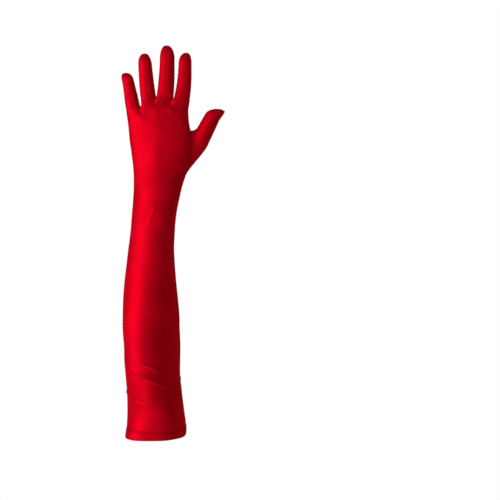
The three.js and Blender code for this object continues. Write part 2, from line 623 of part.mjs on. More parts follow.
// The hem is a ring of doubled cloth under both panels, with a soft fold at its lower edge.
function hemGeometry() {
  const edge = HEM_CLOTH / 4;
  const [out, within] = [-HEM_PROUD, HEM_CLOTH - HEM_PROUD];
  const profile = [
    { z: edge, inset: out },
    { z: HEM_HEIGHT - edge / 2, inset: out },
    { z: HEM_HEIGHT, inset: out + edge / 2 },
    { z: HEM_HEIGHT, inset: within },
    { z: edge, inset: within },
    { z: 0, inset: within - edge },
    { z: 0, inset: out + edge },
  ];
  const points = Array.from({ length: HEM_SEGMENTS }, (_, i) => {
    const turn = (2 * Math.PI * i) / HEM_SEGMENTS;
    const [side, angle] = turn < Math.PI ? [BACK, turn] : [PALM, 2 * Math.PI - turn];
    return profile.map(({ z, inset }) => leaning(bodyPoint(z, angle, side, inset)));
  }).flat();
  const n = profile.length;
  const at = (i, j) => (i % HEM_SEGMENTS) * n + (j % n);
  const triangles = points.flatMap((_, k) => {
    const [i, j] = [Math.floor(k / n), k % n];
    return [[at(i, j), at(i + 1, j), at(i + 1, j + 1)], [at(i, j), at(i + 1, j + 1), at(i, j + 1)]];
  });
  return closedGeometry(points, triangles);
}

function piece(name, geometry) {
  const mesh = new THREE.Mesh(geometry, new THREE.MeshStandardMaterial(SATIN));
  mesh.name = name;
  return mesh;
}

const glove = new THREE.Group();
glove.add(piece("hem", hemGeometry()));
glove.add(piece("sleeve_back", sleeveGeometry(BACK)));
glove.add(piece("sleeve_palm", sleeveGeometry(PALM)));
glove.add(piece("hand_back", handGeometry(BACK)));
glove.add(piece("hand_palm", handGeometry(PALM)));
for (const web of webs) {
  const [left, right] = web.sides;
  glove.add(piece(`fourchette_${left.name}_${right.name}`, fourchetteGeometry(web)));
}
glove.add(piece("thumb_back", thumbGeometry(BACK)));
glove.add(piece("thumb_palm", thumbGeometry(PALM)));

export default glove;
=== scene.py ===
"""Looks of the long dress glove: red stretch satin, sewn from a back and a palm panel, three fourchettes,
a set-in thumb and a turned hem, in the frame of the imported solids.

Lengths are millimetres until a mesh is made. +Z points up to the fingertips, +X to the thumb's side and -Y
out of the back of the hand. A surface is a function of a height, a place across and an inset from the
outer face, and the cloth's inner face is the same function at the cloth's thickness."""

import logging
import math
from dataclasses import dataclass, field, replace
from enum import Enum

import bpy
import numpy as np
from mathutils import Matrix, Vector


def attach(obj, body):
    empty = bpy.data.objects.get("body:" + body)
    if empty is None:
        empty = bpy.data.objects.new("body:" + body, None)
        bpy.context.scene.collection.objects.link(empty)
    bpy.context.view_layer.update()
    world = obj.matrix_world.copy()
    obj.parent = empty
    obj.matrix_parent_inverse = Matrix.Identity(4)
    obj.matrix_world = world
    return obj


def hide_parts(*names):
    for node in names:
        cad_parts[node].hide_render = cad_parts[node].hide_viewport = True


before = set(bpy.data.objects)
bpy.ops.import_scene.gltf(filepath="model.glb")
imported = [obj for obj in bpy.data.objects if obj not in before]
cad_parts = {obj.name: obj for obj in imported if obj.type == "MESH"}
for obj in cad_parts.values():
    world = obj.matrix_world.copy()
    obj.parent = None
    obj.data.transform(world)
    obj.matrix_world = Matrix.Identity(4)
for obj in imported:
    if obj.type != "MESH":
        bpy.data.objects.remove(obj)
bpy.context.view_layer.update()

log = logging.getLogger("glove")
Array = np.ndarray
MM = 0.001


class Side(Enum):
    """The two panels of the glove, by the sign of y that their faces point to."""

    BACK = -1
    PALM = 1


def point_at(x: Array, y: Array, z: Array) -> Array:
    """Points from their coordinates, which are spread to one shape.

    Args:
        x, y, z: coordinates in mm, arrays or numbers.
    Returns:
        Array of shape (..., 3).
    """
    return np.stack(np.broadcast_arrays(x, y, z), axis=-1).astype(float)


def mix(a: Array, b: Array, share: Array) -> Array:
    """a where share is 0 and b where it is 1."""
    return a + (b - a) * share


def smooth(value: Array, low: float, high: float) -> Array:
    """Smooth step: 0 below low, 1 above high, and 3t^2 - 2t^3 between."""
    t = np.clip((np.asarray(value, float) - low) / (high - low), 0, 1)
    return t * t * (3 - 2 * t)


def power(value: Array, exponent: Array) -> Array:
    """|value| to the exponent, with the value's sign."""
    return np.sign(value) * np.abs(value) ** exponent


def follow(places: Array, values: Array, at: Array) -> Array:
    """A smooth curve through a table's column: a cubic in each gap, with the slope of the two neighbours.

    Args:
        places: rising heights of the table's rows.
        values: the column's values there.
        at: heights at which the curve is wanted.
    Returns:
        Array of at's shape.
    """
    last = len(places) - 1
    i = np.searchsorted(places[1:-1], at, side="left")
    before, after = np.maximum(i - 1, 0), np.minimum(i + 2, last)
    step = places[i + 1] - places[i]
    t = np.clip((at - places[i]) / step, 0, 1)
    start = (values[i + 1] - values[before]) / (places[i + 1] - places[before]) * step
    end = (values[after] - values[i]) / (places[after] - places[i]) * step
    rise = values[i + 1] - values[i]
    return values[i] + t * (start + t * (3 * rise - 2 * start - end + t * (start + end - 2 * rise)))


def unit(vectors: Array) -> Array:
    """Vectors of length 1, or shorter where there is next to none."""
    return vectors / np.maximum(np.linalg.norm(vectors, axis=-1, keepdims=True), 1e-9)


def crowded(places: Array, share: float) -> Array:
    """Places from 0 to 1, drawn to both ends by a share of a sine wave: t - share sin(2 pi t) / (2 pi)."""
    return places - share * np.sin(2 * math.pi * places) / (2 * math.pi)


def grid_cells(grid: Array, closed: bool = False) -> Array:
    """The four-sided cells of a grid of point numbers.

    Args:
        grid: (rows, columns). closed: whether its last column joins its first.
    Returns:
        Cells (n, 4).
    """
    if closed:
        grid = np.concatenate([grid, grid[:, :1]], axis=1)
    corners = (grid[:-1, :-1], grid[:-1, 1:], grid[1:, 1:], grid[1:, :-1])
    return np.stack([c.ravel() for c in corners], axis=1)


def facing(points: Array, quads: Array, ways: Array) -> Array:
    """The cells, all turned round if they face against the ways given for them.

    Args:
        points: (n, 3). quads: cells (m, 4). ways: roughly outwards at each cell, (m, 3).
    """
    a, b, c, d = (points[quads[:, k]] for k in range(4))
    against = (np.cross(c - a, d - b) * ways).sum() < 0
    return quads[:, ::-1] if against else quads


@dataclass(frozen=True)
class Finger:
    """One finger of the glove. Widths and lengths in mm, lean in degrees to the thumb's side; slim, bow,
    skew and dome are shares of its width, blunt is the power of its round end, and turn, in degrees, is
    how far its thumb side shows."""

    name: str
    width: float
    depth: float
    length: float
    drop: float
    lean: float
    slim: float
    bow: float
    skew: float
    dome: float
    blunt: float
    set_back: float
    curl: float
    turn: float
    root_x: float = 0.0
    root_z: float = 0.0

    @property
    def tip_z(self) -> float:
        """Height of the fingertip."""
        return self.root_z + self.length


@dataclass(frozen=True)
class Web:
    """The gap between finger number `left` and the next one, and the height of its top."""

    left: int
    top: float


@dataclass
class GloveForm:
    """The form of the whole glove, which all its pieces share."""

    arm_length: float = 325.0
    palm_length: float = 122.0
    opening_width: float = 79.5
    opening_depth: float = 82.0
    opening_slope: float = 0.024
    palm_depth: float = 36.0
    knuckle_length: float = 14.0
    elbow_share: float = 0.34
    cloth: float = 1.0
    seam_gap: float = 0.06
    hem_height: float = 12.0
    web_gap: float = 1.3
    web_round: float = 5.0
    web_drop_back: float = 3.5
    web_drop_palm: float = 4.0
    web_arch: float = 2.5
    web_set: float = 2.6
    web_blend: float = 17.0
    fourchette_half: float = math.radians(38)
    fourchette_taper: float = 0.35
    fourchette_point: float = 0.89
    tip_flat: float = 0.25
    joint_share: float = 0.75
    finger_width: float = 21.8
    finger_depth: float = 19.4
    finger_length: float = 68.2
    finger_square: float = 2.5
    fingers_shift: float = 0.021
    # name, width, depth, length, drop, lean, slim, bow, skew, dome, blunt, set, curl, turn
    finger_table: tuple = (
        ("little", 0.885, 0.845, 0.66, 0.167, -11.2, 0.82, 0.02, -0.03, 0.55, 2.6, -0.05, 0.1, 18),
        ("ring", 0.935, 0.99, 0.857, 0.0, -5.2, 0.885, -0.035, 0.0, 0.7, 2.0, -0.04, 0.02, 24),
        ("middle", 1.0, 1.0, 1.0, 0.0, 2.2, 0.9, 0.05, -0.03, 0.76, 2.0, -0.03, -0.02, 36),
        ("index", 0.94, 0.96, 0.88, 0.029, 3.5, 0.83, 0.085, 0.08, 0.66, 2.1, 0.02, -0.04, 24),
    )
    # up the arm, and how far the section leans: its thumb's side comes forward by this much per mm
    lean_table: tuple = (
        (0, 0.05), (0.1, 0.14), (0.21, 0.02), (0.36, -0.13), (0.55, 0.04), (0.67, 0.1), (0.8, 0.16),
        (0.92, 0.2), (1.06, 0.17), (1.3, 0.17), (1.5, 0.13), (1.6, 0.13),
    )
    # up, shift, width, back, palm, square
    arm_table: tuple = (
        (0, 0, 1, 0.5, 0.5, 2.5),
        (0.045, 0.008, 0.984, 0.497, 0.497, 2.3),
        (0.11, -0.008, 0.95, 0.49, 0.487, 2),
        (0.175, -0.025, 0.917, 0.49, 0.47, 2),
        (0.24, -0.05, 0.9, 0.492, 0.455, 2),
        (0.305, -0.06, 0.916, 0.48, 0.452, 2),
        (0.37, -0.062, 0.925, 0.464, 0.452, 2),
        (0.436, -0.079, 0.936, 0.452, 0.452, 2),
        (0.5, -0.083, 0.938, 0.438, 0.44, 2),
        (0.567, -0.092, 0.905, 0.418, 0.415, 2),
        (0.632, -0.095, 0.859, 0.388, 0.38, 2),
        (0.697, -0.09, 0.811, 0.352, 0.344, 2),
        (0.7625, -0.079, 0.769, 0.32, 0.312, 2),
        (0.828, -0.058, 0.747, 0.3, 0.288, 2),
        (0.893, -0.034, 0.75, 0.285, 0.272, 2),
        (0.958, -0.002, 0.778, 0.27, 0.264, 2),
    )
    hand_table: tuple = (
        (0.025, 0.028, 0.755, 0.59, 0.598, 2.05),
        (0.148, 0.056, 0.81, 0.545, 0.6, 2.05),
        (0.262, 0.08, 0.883, 0.5, 0.596, 2.05),
        (0.426, 0.079, 0.939, 0.455, 0.566, 2.1),
        (0.533, 0.066, 0.96, 0.432, 0.53, 2.1),
        (0.627, 0.055, 0.96, 0.412, 0.486, 2.1),
        (0.713, 0.038, 0.95, 0.396, 0.444, 2.15),
        (0.8, 0.023, 0.962, 0.371, 0.4, 2.15),
        (0.885, 0.004, 1.0, 0.337, 0.345, 2.15),
        (0.975, 0.003, 1.03, 0.288, 0.298, 2.15),
        (1.106, 0.001, 1.08, 0.25, 0.27, 2.15),
    )
    thumb_width: float = 22.4
    thumb_depth: float = 20.5
    thumb_length: float = 39.5
    thumb_lean: float = math.radians(28)
    thumb_rise: float = 73.0
    thumb_reach: float = 16.6
    thumb_forward: float = 9.0
    thumb_curl: float = -3.0
    thumb_slim: float = 0.86
    thumb_skew: float = 0.38
    thumb_dome: float = 0.7
    thumb_slant: float = 0.2
    thumb_heel: float = 1.7
    thumb_heel_place: float = 1.2
    thumb_press: float = 0.2
    thumb_seam_low: float = 18.0
    thumb_seam_high: float = 79.0
    thumb_seam_back: float = math.radians(18)
    thumb_seam_palm: float = math.radians(60)
    join_start: float = 0.8
    join_end: float = 0.7
    join_least: float = 14.0
    fingers: list = field(init=False)
    webs: list = field(init=False)

    def __post_init__(self) -> None:
        """Works out the fingers' and sections' sizes in mm, and where each finger and web lies."""
        wide, deep, long = self.finger_width, self.finger_depth, self.finger_length
        fingers = []
        for name, w, d, n, drop, lean, *shares, back, curl, turn in self.finger_table:
            sizes = (w * wide, d * deep, n * long, drop * long, lean, *shares)
            fingers.append(Finger(name, *sizes, back * deep, curl * deep, math.radians(turn)))
        self.fingers_wide = sum(f.width for f in fingers) + self.web_gap * (len(fingers) - 1)
        self.palm_top = self.arm_length + self.palm_length
        arm, hand = np.array(self.arm_table, float), np.array(self.hand_table, float)
        self._heights = np.concatenate([arm[:, 0] * self.arm_length,
                                        self.arm_length + hand[:, 0] * self.palm_length])
        counts = [len(arm), len(hand)]
        across = np.repeat([self.opening_width, self.fingers_wide], counts)
        depths = np.repeat([self.opening_depth, self.palm_depth], counts)
        rows = np.concatenate([arm, hand])
        self._shift, self._half = rows[:, 1] * across, rows[:, 2] * across / 2
        self._back, self._palm, self._square = rows[:, 3] * depths, rows[:, 4] * depths, rows[:, 5]
        edge = float(self.section(np.array(self.palm_top))[0])
        edge += self.fingers_wide * self.fingers_shift - self.fingers_wide / 2
        self.fingers = []
        for f in fingers:
            self.fingers.append(replace(f, root_x=edge + f.width / 2, root_z=self.palm_top - f.drop))
            edge += f.width + self.web_gap
        pairs = list(zip(self.fingers[:-1], self.fingers[1:]))
        self.webs = [Web(i, self.palm_top - max(a.drop, b.drop)) for i, (a, b) in enumerate(pairs)]
        self.thumb_low = self.arm_length + self.thumb_seam_low
        self.thumb_high = self.arm_length + self.thumb_seam_high
        middles = [(a.root_x + a.width / 2 + b.root_x - b.width / 2) / 2 for a, b in pairs]
        angles = [float(self.angle_at(w.top, x)) for w, x in zip(self.webs, middles)]
        self.dividers = [math.pi, *angles, 0.0]
        self.thumb_out = np.array([math.cos(self.thumb_lean), 0, -math.sin(self.thumb_lean)])
        self.thumb_up = np.array([math.sin(self.thumb_lean), 0, math.cos(self.thumb_lean)])

    def turned(self, points: Array) -> Array:
        """Points of the glove with its sections leaning as the table says: y falls with the distance to
        the thumb's side of the section's middle."""
        x, y, z = points[..., 0], points[..., 1], points[..., 2]
        places, slopes = np.array(self.lean_table).T
        slope = follow(places * self.arm_length, slopes, z)
        return point_at(x, y - slope * (x - follow(self._heights, self._shift, z)), z)

    def section(self, z: Array) -> tuple:
        """The body's section at a height.

        Returns:
            Sideways shift, half width, depth to the back, depth to the palm and squareness, at each height.
        """
        columns = (self._shift, self._half, self._back, self._palm, self._square)
        return tuple(follow(self._heights, column, np.asarray(z, float)) for column in columns)

    def body(self, z: Array, angle: Array, side: Array, inset: float) -> Array:
        """A point of the arm or palm: a superellipse section, whose half width and depth follow the tables.

        Args:
            z: height. angle: 0 on the thumb's side and pi on the little finger's.
            side: -1 for the back and 1 for the palm. inset: depth below the outer face.
        Returns:
            Points of shape (..., 3).
        """
        shift, half, back, palm, square = self.section(z)
        x = shift + (half - inset) * power(np.cos(angle), 2 / square)
        deep = np.where(np.asarray(side) < 0, back, palm) - inset
        slope = self.opening_slope * (1 - smooth(z, 0, self.elbow_share * self.arm_length))
        return point_at(x, side * deep * power(np.sin(angle), 2 / square), z + x * slope)

    def angle_at(self, z: Array, x: Array) -> Array:
        """The angle of the body's outline at which it lies x from the middle."""
        shift, half, _, _, square = self.section(z)
        return np.arccos(power(np.clip((x - shift) / half, -1, 1), square / 2))

    def finger(self, f: Finger, z: Array, angle: Array, side: float, inset: float) -> Array:
        """A point of a finger: a superellipse on a leaning and curling line, narrowed to the last joint by
        a smooth step and closed by a round end of the form (1 - a t^n)^(1/n).

        Args:
            f: the finger. z: height. angle: 0 on the thumb's side, pi/2 on the back.
            side: -1, 1, or 0 between the panels. inset: depth below the outer face.
        """
        up = (z - f.root_z) / f.length
        shoulder = f.tip_z - f.dome * f.width
        dome = np.clip((z - shoulder) / (f.tip_z - inset - shoulder), 0, 1)
        slim = mix(1, f.slim, smooth(up, 0, self.joint_share))
        wide = (1 - (1 - self.tip_flat**f.blunt) * dome**f.blunt) ** (1 / f.blunt)
        half = ((f.width / 2) * slim - inset) * wide
        deep = ((f.depth / 2) * slim - inset) * np.sqrt(1 - dome**2)
        held = np.clip(up, 0, 1)
        bend = 4 * f.bow * held * (1 - held) + f.skew * dome**2
        x = f.root_x + (z - f.root_z) * math.tan(math.radians(f.lean)) + bend * f.width
        y = f.set_back + f.curl * np.maximum(up, 0) ** 2 + side * (self.seam_gap / 2) * dome**2
        round_off = 2 / self.finger_square
        x = x + half * power(np.cos(angle), round_off)
        return point_at(x, y - deep * power(np.sin(angle), round_off), z)

    def fourchette_reach(self, f: Finger, z: Array, edge: int) -> Array:
        """Half the angle that a fourchette takes up on a finger, falling with the square of the way to its
        point. edge is 1 for the fourchette and -1 for the panels beside it."""
        up = (z - f.root_z) / f.length
        taper = self.fourchette_taper
        narrow = np.clip((up - taper) / (self.fourchette_point - taper), 0, 1)
        return self.fourchette_half * (1 - narrow**2) - edge * self.seam_gap / f.depth

    def web_bottom(self, web: Web, across: Array, edge: int, inset: float) -> Array:
        """The height of a web's bottom, an arch between the seams: across is 1 at the back's seam and -1
        at the palm's."""
        drop = np.where(np.asarray(across) > 0, self.web_drop_back, self.web_drop_palm)
        return web.top - (drop - edge * self.seam_gap) * np.abs(across) ** self.web_arch - inset

    def web(self, web: Web, leg: int, z: Array, across: Array, side: float, edge: int,
            inset: float) -> Array:
        """A point in the gap between two fingers: its two walls run together in a quarter circle's curve.
        At the web the seams with the back come forward to just below the fingers' backs, and a smooth
        step takes them back to their places up the fingers.

        Args:
            web: the gap. leg: 0 on the first finger's side and 1 on the next one's. z: height.
            across: 1 at the back's seam and -1 at the palm's. side: as in finger().
            edge: 1 for the fourchette and -1 for the panels. inset: depth below the outer face.
        """
        bottom = self.web_bottom(web, across, edge, inset)
        forward = (1 - smooth(z - bottom, 0, self.web_blend)) * np.maximum(across, 0) ** 2
        walls = []
        for i in (0, 1):
            f = self.fingers[web.left + i]
            start, way = (f.turn, 1) if i == 0 else (math.pi + f.turn, -1)
            turn = self.fourchette_reach(f, z, edge) * across
            seam = self.finger(f, z, start + way * self.fourchette_reach(f, z, 0), side, 0)
            crest = self.finger(f, z, np.array(math.pi / 2), side, 0)
            shift = (crest - seam)[..., 1] + self.web_set
            wall = self.finger(f, z, start + way * turn, side, inset)
            walls.append(wall + point_at(0, shift * forward, 0))
        rise = np.clip((z - bottom) / self.web_round, 0, 1)
        open_share = np.sqrt(np.maximum(1 - (1 - rise) ** 2, 0))[..., None]
        return mix(mix(walls[0], walls[1], 0.5), walls[leg], open_share)

    def seam_angle(self, z: Array, side: Array) -> Array:
        """How far the side seam swings round the thumb: half a sine wave, wider into the palm."""
        swing = np.where(np.asarray(side) < 0, self.thumb_seam_back, self.thumb_seam_palm)
        share = np.clip((z - self.thumb_low) / (self.thumb_high - self.thumb_low), 0, 1)
        return swing * np.sin(math.pi * share)

    def slit(self, i: int, share: Array, side: Side, inset: float) -> Array:
        """The height at which the slits beside finger i start, arched over the finger by half a sine."""
        ends = []
        for j in (i - 1, i):
            there = 0 <= j < len(self.webs)
            web = self.webs[j] if there else self.webs[0 if i == 0 else i - 1]
            across = -1 if there and side is Side.PALM else 1
            ends.append(self.web_bottom(web, np.array(float(across)), -1, inset))
        return mix(ends[0], ends[1], smooth(share, 0, 1)) + self.web_drop_palm * np.sin(math.pi * share)

    def strip(self, i: int, share: Array, z: Array, side: Side, inset: float) -> Array:
        """A point of finger i's part of a panel: the finger's own surface, drawn to the seams at its two
        edges by amounts that fall with the square of the way across.

        Args:
            i: finger number. share: 0 on the little finger's edge and 1 on the thumb's. z: height.
            side: the panel. inset: depth below the outer face.
        """
        f, on_back = self.fingers[i], -side.value
        seams, pulls = [], []
        for edge in (0, 1):
            j = i - 1 + edge
            there = 0 <= j < len(self.webs)
            ulnar = -1 if edge else 1
            turn = self.fourchette_reach(f, z, -1) if there else self.seam_gap / f.depth
            seam = (f.turn if there else 0) - ulnar * on_back * turn
            angle = ((1 - on_back) * math.pi if edge else math.pi) + seam
            own = self.finger(f, z, angle, side.value, inset)
            seams.append(angle)
            pull = np.zeros_like(own)
            if there:
                to = self.web(self.webs[j], 1 - edge, z, np.array(float(on_back)), side.value, -1, inset)
                pull = to - own
            pulls.append(pull)
        base = self.finger(f, z, mix(seams[0], seams[1], share), side.value, inset)
        return base + pulls[0] * ((1 - share) ** 2)[..., None] + pulls[1] * (share**2)[..., None]

    def panel(self, i: int, share: Array, z: Array, side: Side, inset: float) -> Array:
        """A point of a panel below the slits: the body's section, turned into the finger's strip by a
        smooth step over the knuckles. The arguments are strip()'s."""
        _, _, back, palm, square = self.section(z)
        deep = back if side is Side.BACK else palm
        gap = np.arcsin((self.seam_gap / 2 / deep) ** (square / 2))
        way = 1 - mix(self.dividers[i], self.dividers[i + 1], share) / math.pi
        angle = mix(math.pi - gap, self.seam_angle(z, side.value) + gap, way)
        slit = self.slit(i, share, side, inset)
        turned = smooth(z - slit, -self.knuckle_length, 0)[..., None]
        return mix(self.body(z, angle, side.value, inset), self.strip(i, share, z, side, inset), turned)

    def thumb_tube(self, up: Array, angle: Array, inset: float) -> Array:
        """A point of the thumb's tube: an ellipse along a leaning line, slanted at its base and domed at
        its tip. up is a share of its length, and the angle is 0 on the outer side, pi/2 on the back."""
        shoulder = self.thumb_length - self.thumb_dome * self.thumb_width
        height = up * (self.thumb_length - inset)
        dome = np.clip((height - shoulder) / (self.thumb_length - inset - shoulder), 0, 1)
        slim = mix(1, self.thumb_slim, smooth(up, 0, 1))
        wide = np.sqrt(1 - (1 - self.tip_flat**2) * dome**2)
        half = ((self.thumb_width / 2) * slim - inset) * wide
        deep = ((self.thumb_depth / 2) * slim - inset) * np.sqrt(1 - dome**2)
        along = height - self.thumb_slant * self.thumb_width * (1 - up) * np.cos(angle)
        out = self.thumb_skew * self.thumb_width * dome**2 + half * np.cos(angle)
        z = self.arm_length + self.thumb_rise
        shift, half_hand = self.section(np.array(z))[:2]
        base = np.array([float(shift + half_hand) + self.thumb_reach, self.thumb_forward, z])
        flat = base + along[..., None] * self.thumb_up + out[..., None] * self.thumb_out
        return flat + point_at(0 * up, self.thumb_curl * up**2 - deep * np.sin(angle), 0 * up)

    def thumb_seam(self, angle: Array, inset: float) -> Array:
        """The seam round the thumb's base: its height runs as a cosine of the angle."""
        z, side, turn = self.thumb_seam_place(angle)
        return self.body(z, turn, side, inset)

    def thumb_seam_place(self, angle: Array) -> tuple:
        """Height, side and turn of the thumb's seam for an angle round the thumb."""
        z = mix(self.thumb_low, self.thumb_high, (1 - np.cos(angle)) / 2)
        side = np.where(np.sin(angle) >= 0, -1, 1)
        return z, side, self.seam_angle(z, side)

    def thumb_seam_direction(self, angle: Array) -> Array:
        """The direction in which the hand's surface runs on from the seam, to the opening's middle: up by
        the angle's cosine, and sideways by the cube of its sine."""
        step = 0.02
        z, side, turn = self.thumb_seam_place(angle)

        def surface(turned: Array, height: Array) -> Array:
            """The hand's surface at a signed angle."""
            return self.body(height, np.abs(turned), np.where(turned < 0, -1, 1), 0)

        around = surface(turn * side + step, z) - surface(turn * side - step, z)
        up = surface(turn * side, z + 1) - surface(turn * side, z - 1)
        inward = -side * np.abs(np.sin(angle)) ** 3
        return unit(unit(up) * np.cos(angle)[..., None] + unit(around) * inward[..., None])

    def join_length(self, angle: Array) -> Array:
        """Length of the cloth between the thumb's seam and its base ring."""
        apart = self.thumb_seam(angle, 0) - self.thumb_tube(0 * angle, angle, 0)
        return np.maximum(np.linalg.norm(apart, axis=-1), self.join_least)

    def thumb(self, up: Array, angle: Array) -> Array:
        """A point of the thumb's outer face. Below 0 it is the join from the seam, at -1, to the base ring:
        a cubic that leaves along the hand and arrives along the thumb, swollen on the outer side."""
        t = np.clip(up + 1, 0, 1)
        far = self.join_length(angle)
        heel = np.sin(math.pi * t**self.thumb_heel_place)
        swell = self.thumb_heel * np.maximum(np.cos(angle), 0) ** 2 * heel
        join = (
            self.thumb_seam(angle, 0) * (2 * t**3 - 3 * t**2 + 1)[..., None]
            + self.thumb_seam_direction(angle) * (self.join_start * far * (t**3 - 2 * t**2 + t))[..., None]
            + self.thumb_tube(0 * angle, angle, 0) * (3 * t**2 - 2 * t**3)[..., None]
            + self.thumb_up * (self.join_end * far * (t**3 - t**2))[..., None]
            + self.thumb_out * swell[..., None]
        )
        return np.where((up >= 0)[..., None], self.thumb_tube(np.maximum(up, 0), angle, 0), join)

    def thumb_inner(self, up: Array, angle: Array, inset: float) -> Array:
        """The thumb's inner face: the tube's own inset, and along the join the outer face moved inwards
        along its normal, which turns into the hand's inset at the seam."""
        step = 0.01
        outer = self.thumb(up, angle)
        along = self.thumb(up + step, angle) - self.thumb(np.maximum(up - step, -1), angle)
        around = self.thumb(up, angle + step) - self.thumb(up, angle - step)
        pressed = self.thumb_seam(angle, inset) - self.thumb_seam(angle, 0)
        at_seam = 1 - smooth(up, -1, self.thumb_press - 1)
        join = mix(-inset * unit(np.cross(along, around)), pressed, at_seam[..., None])
        held = np.maximum(up, 0)
        tube = self.thumb_tube(held, angle, inset) - self.thumb_tube(held, angle, 0)
        return outer + np.where((up >= 0)[..., None], tube, join)


@dataclass(frozen=True)
class Wrinkle:
    """A ridge of the cloth, or a groove where high is negative, between two places of a panel seen from
    the front, as (x, z) in mm. below and above are its widths on either side, and bow bends it."""

    start: tuple
    end: tuple
    high: float
    below: float
    above: float
    bow: float = 0.0
    side: Side = Side.BACK

    def height(self, points: Array) -> Array:
        """A bell curve across the line, with a width of its own on each side, that fades to its ends with
        the fourth power of the way from its middle."""
        start, end = np.array(self.start), np.array(self.end)
        chord = end - start
        long = np.linalg.norm(chord)
        flat = points[..., [0, 2]] - start
        t = flat @ chord / long**2
        off = flat @ np.array([-chord[1], chord[0]]) / long - self.bow * 4 * t * (1 - t)
        wide = np.where(off < 0, self.below, self.above)
        return self.high * np.exp(-((off / wide) ** 2) - 2 * np.abs(2 * t - 1) ** 4)


@dataclass
class ClothRelief:
    """What stretched and sewn cloth does to the smooth form: wrinkles, slow waves, and seams that are
    pulled in and pucker."""

    welt_high: float = 0.3
    welt_wide: float = 1.5
    groove_deep: float = 0.42
    groove_wide: float = 0.45
    pucker_high: float = 0.07
    pucker_wide: float = 2.6
    pucker_long: float = 5.6
    pucker_slant: float = 0.6
    pucker_drift: float = 1.7
    pucker_drift_long: float = 11.0
    wave_high: float = 0.055
    wave_sway: float = 8.0
    # share of the height, mm up, across and deep for each radian of the wave, phase, and sway
    waves: tuple = (
        (1.0, 9.1, 6.3, math.inf, 0.0, 0.7),
        (0.8, 6.4, -7.7, 9.5, 1.3, 0.0),
        (0.6, 15.7, math.inf, 5.2, 2.1, 0.0),
        (0.4, 4.3, 11.0, -7.1, 0.0, 0.0),
    )
    wrinkles: tuple = (
        # over the elbow: two sharp folds that run down to the thumb's side, a short one and a faint one
        Wrinkle((-21.5, 101.0), (12.0, 86.0), 1.6, 1.2, 2.6, 0.8),
        Wrinkle((-34.5, 92.0), (25.0, 64.0), 2.0, 1.35, 3.0, 0.0),
        Wrinkle((-17.0, 77.0), (-3.0, 70.0), -0.6, 1.6, 1.8),
        Wrinkle((-31.0, 54.0), (-2.0, 46.0), -0.35, 1.9, 1.9, -0.6),
        Wrinkle((-29.0, 50.0), (-1.0, 42.5), 0.22, 2.4, 2.2, -0.6),
        # the upper arm pushes the cloth forward below the folds
        Wrinkle((-4.0, 92.0), (-4.0, 36.0), 0.9, 9.0, 14.0),
        # across the elbow from the two sides
        Wrinkle((-46.0, 59.5), (-30.0, 55.0), 0.9, 1.8, 2.4),
        Wrinkle((22.0, 79.0), (40.0, 71.5), 0.8, 2.0, 3.0),
        # stretched lines that run up the forearm to the wrist
        Wrinkle((-8.5, 276.0), (1.5, 300.5), 0.6, 2.6, 1.5, 0.8),
        Wrinkle((-12.5, 284.0), (-5.0, 299.0), -0.45, 1.6, 1.8, 0.6),
        Wrinkle((-26.5, 291.0), (-19.0, 311.0), 0.22, 2.0, 2.0, 0.5),
        Wrinkle((6.0, 268.0), (13.0, 292.0), 0.2, 3.0, 2.2, 0.6),
        # cloth stretched flat below the three webs
        Wrinkle((-20.5, 434.0), (-17.5, 411.0), 0.8, 4.5, 4.5),
        Wrinkle((1.0, 443.0), (-1.0, 420.0), 0.55, 4.5, 4.5),
        Wrinkle((24.0, 442.0), (20.5, 419.0), 0.7, 4.5, 4.5),
        # on the palm side: creases in the crook of the elbow, at the wrist, in the palm and at the fingers
        Wrinkle((-34.0, 96.0), (26.0, 88.0), -0.8, 2.0, 3.4, 2.0, Side.PALM),
        Wrinkle((-30.0, 84.0), (30.0, 90.0), 0.6, 2.2, 2.6, -1.5, Side.PALM),
        Wrinkle((-24.0, 74.0), (22.0, 68.0), -0.55, 2.2, 3.0, 1.5, Side.PALM),
        Wrinkle((-22.0, 326.0), (24.0, 329.0), -0.6, 1.8, 2.2, -2.0, Side.PALM),
        Wrinkle((-16.0, 318.5), (18.0, 320.5), -0.35, 1.8, 2.0, -1.5, Side.PALM),
        Wrinkle((-34.0, 408.0), (22.0, 426.0), -0.5, 2.4, 3.0, -3.0, Side.PALM),
        Wrinkle((-6.0, 352.0), (34.0, 404.0), -0.5, 3.0, 2.4, 7.0, Side.PALM),
        # the long bone of the middle finger under the back of the hand
        Wrinkle((-1.5, 318.0), (6.5, 436.0), 1.15, 12.0, 12.0, 0.0),
    )

    def at(self, points: Array, side: Side | None) -> Array:
        """Height of the wrinkles and slow waves.

        Args:
            points: outer points in mm. side: the panel whose wrinkles they take, or None.
        Returns:
            Heights along the surface's normal, of shape (...).
        """
        x, y, z = points[..., 0], points[..., 1], points[..., 2]
        high = 0 * z
        for share, up, across, deep, phase, sway in self.waves:
            way = z / up + x / across + y / deep + phase + sway * np.sin(y / self.wave_sway)
            high = high + self.wave_high * share * np.sin(way)
        return high + sum(w.height(points) for w in self.wrinkles if w.side is side)

    def seam(self, points: Array, away: Array) -> Array:
        """Height beside a seam: a welt over its allowances, with a narrow groove in its middle, and puckers
        across it along its length.

        Args:
            points: outer points in mm. away: distance of each from the nearest seam, in mm.
        """
        along = points[..., 2] + self.pucker_slant * points[..., 0]
        drift = self.pucker_drift * np.sin(along / self.pucker_drift_long)
        pucker = self.pucker_high * np.sin(2 * math.pi * along / self.pucker_long + drift)
        parts = ((pucker, self.pucker_wide), (self.welt_high, self.welt_wide),
                 (-self.groove_deep, self.groove_wide))
        return sum(high * np.exp(-((away / wide) ** 2)) for high, wide in parts)


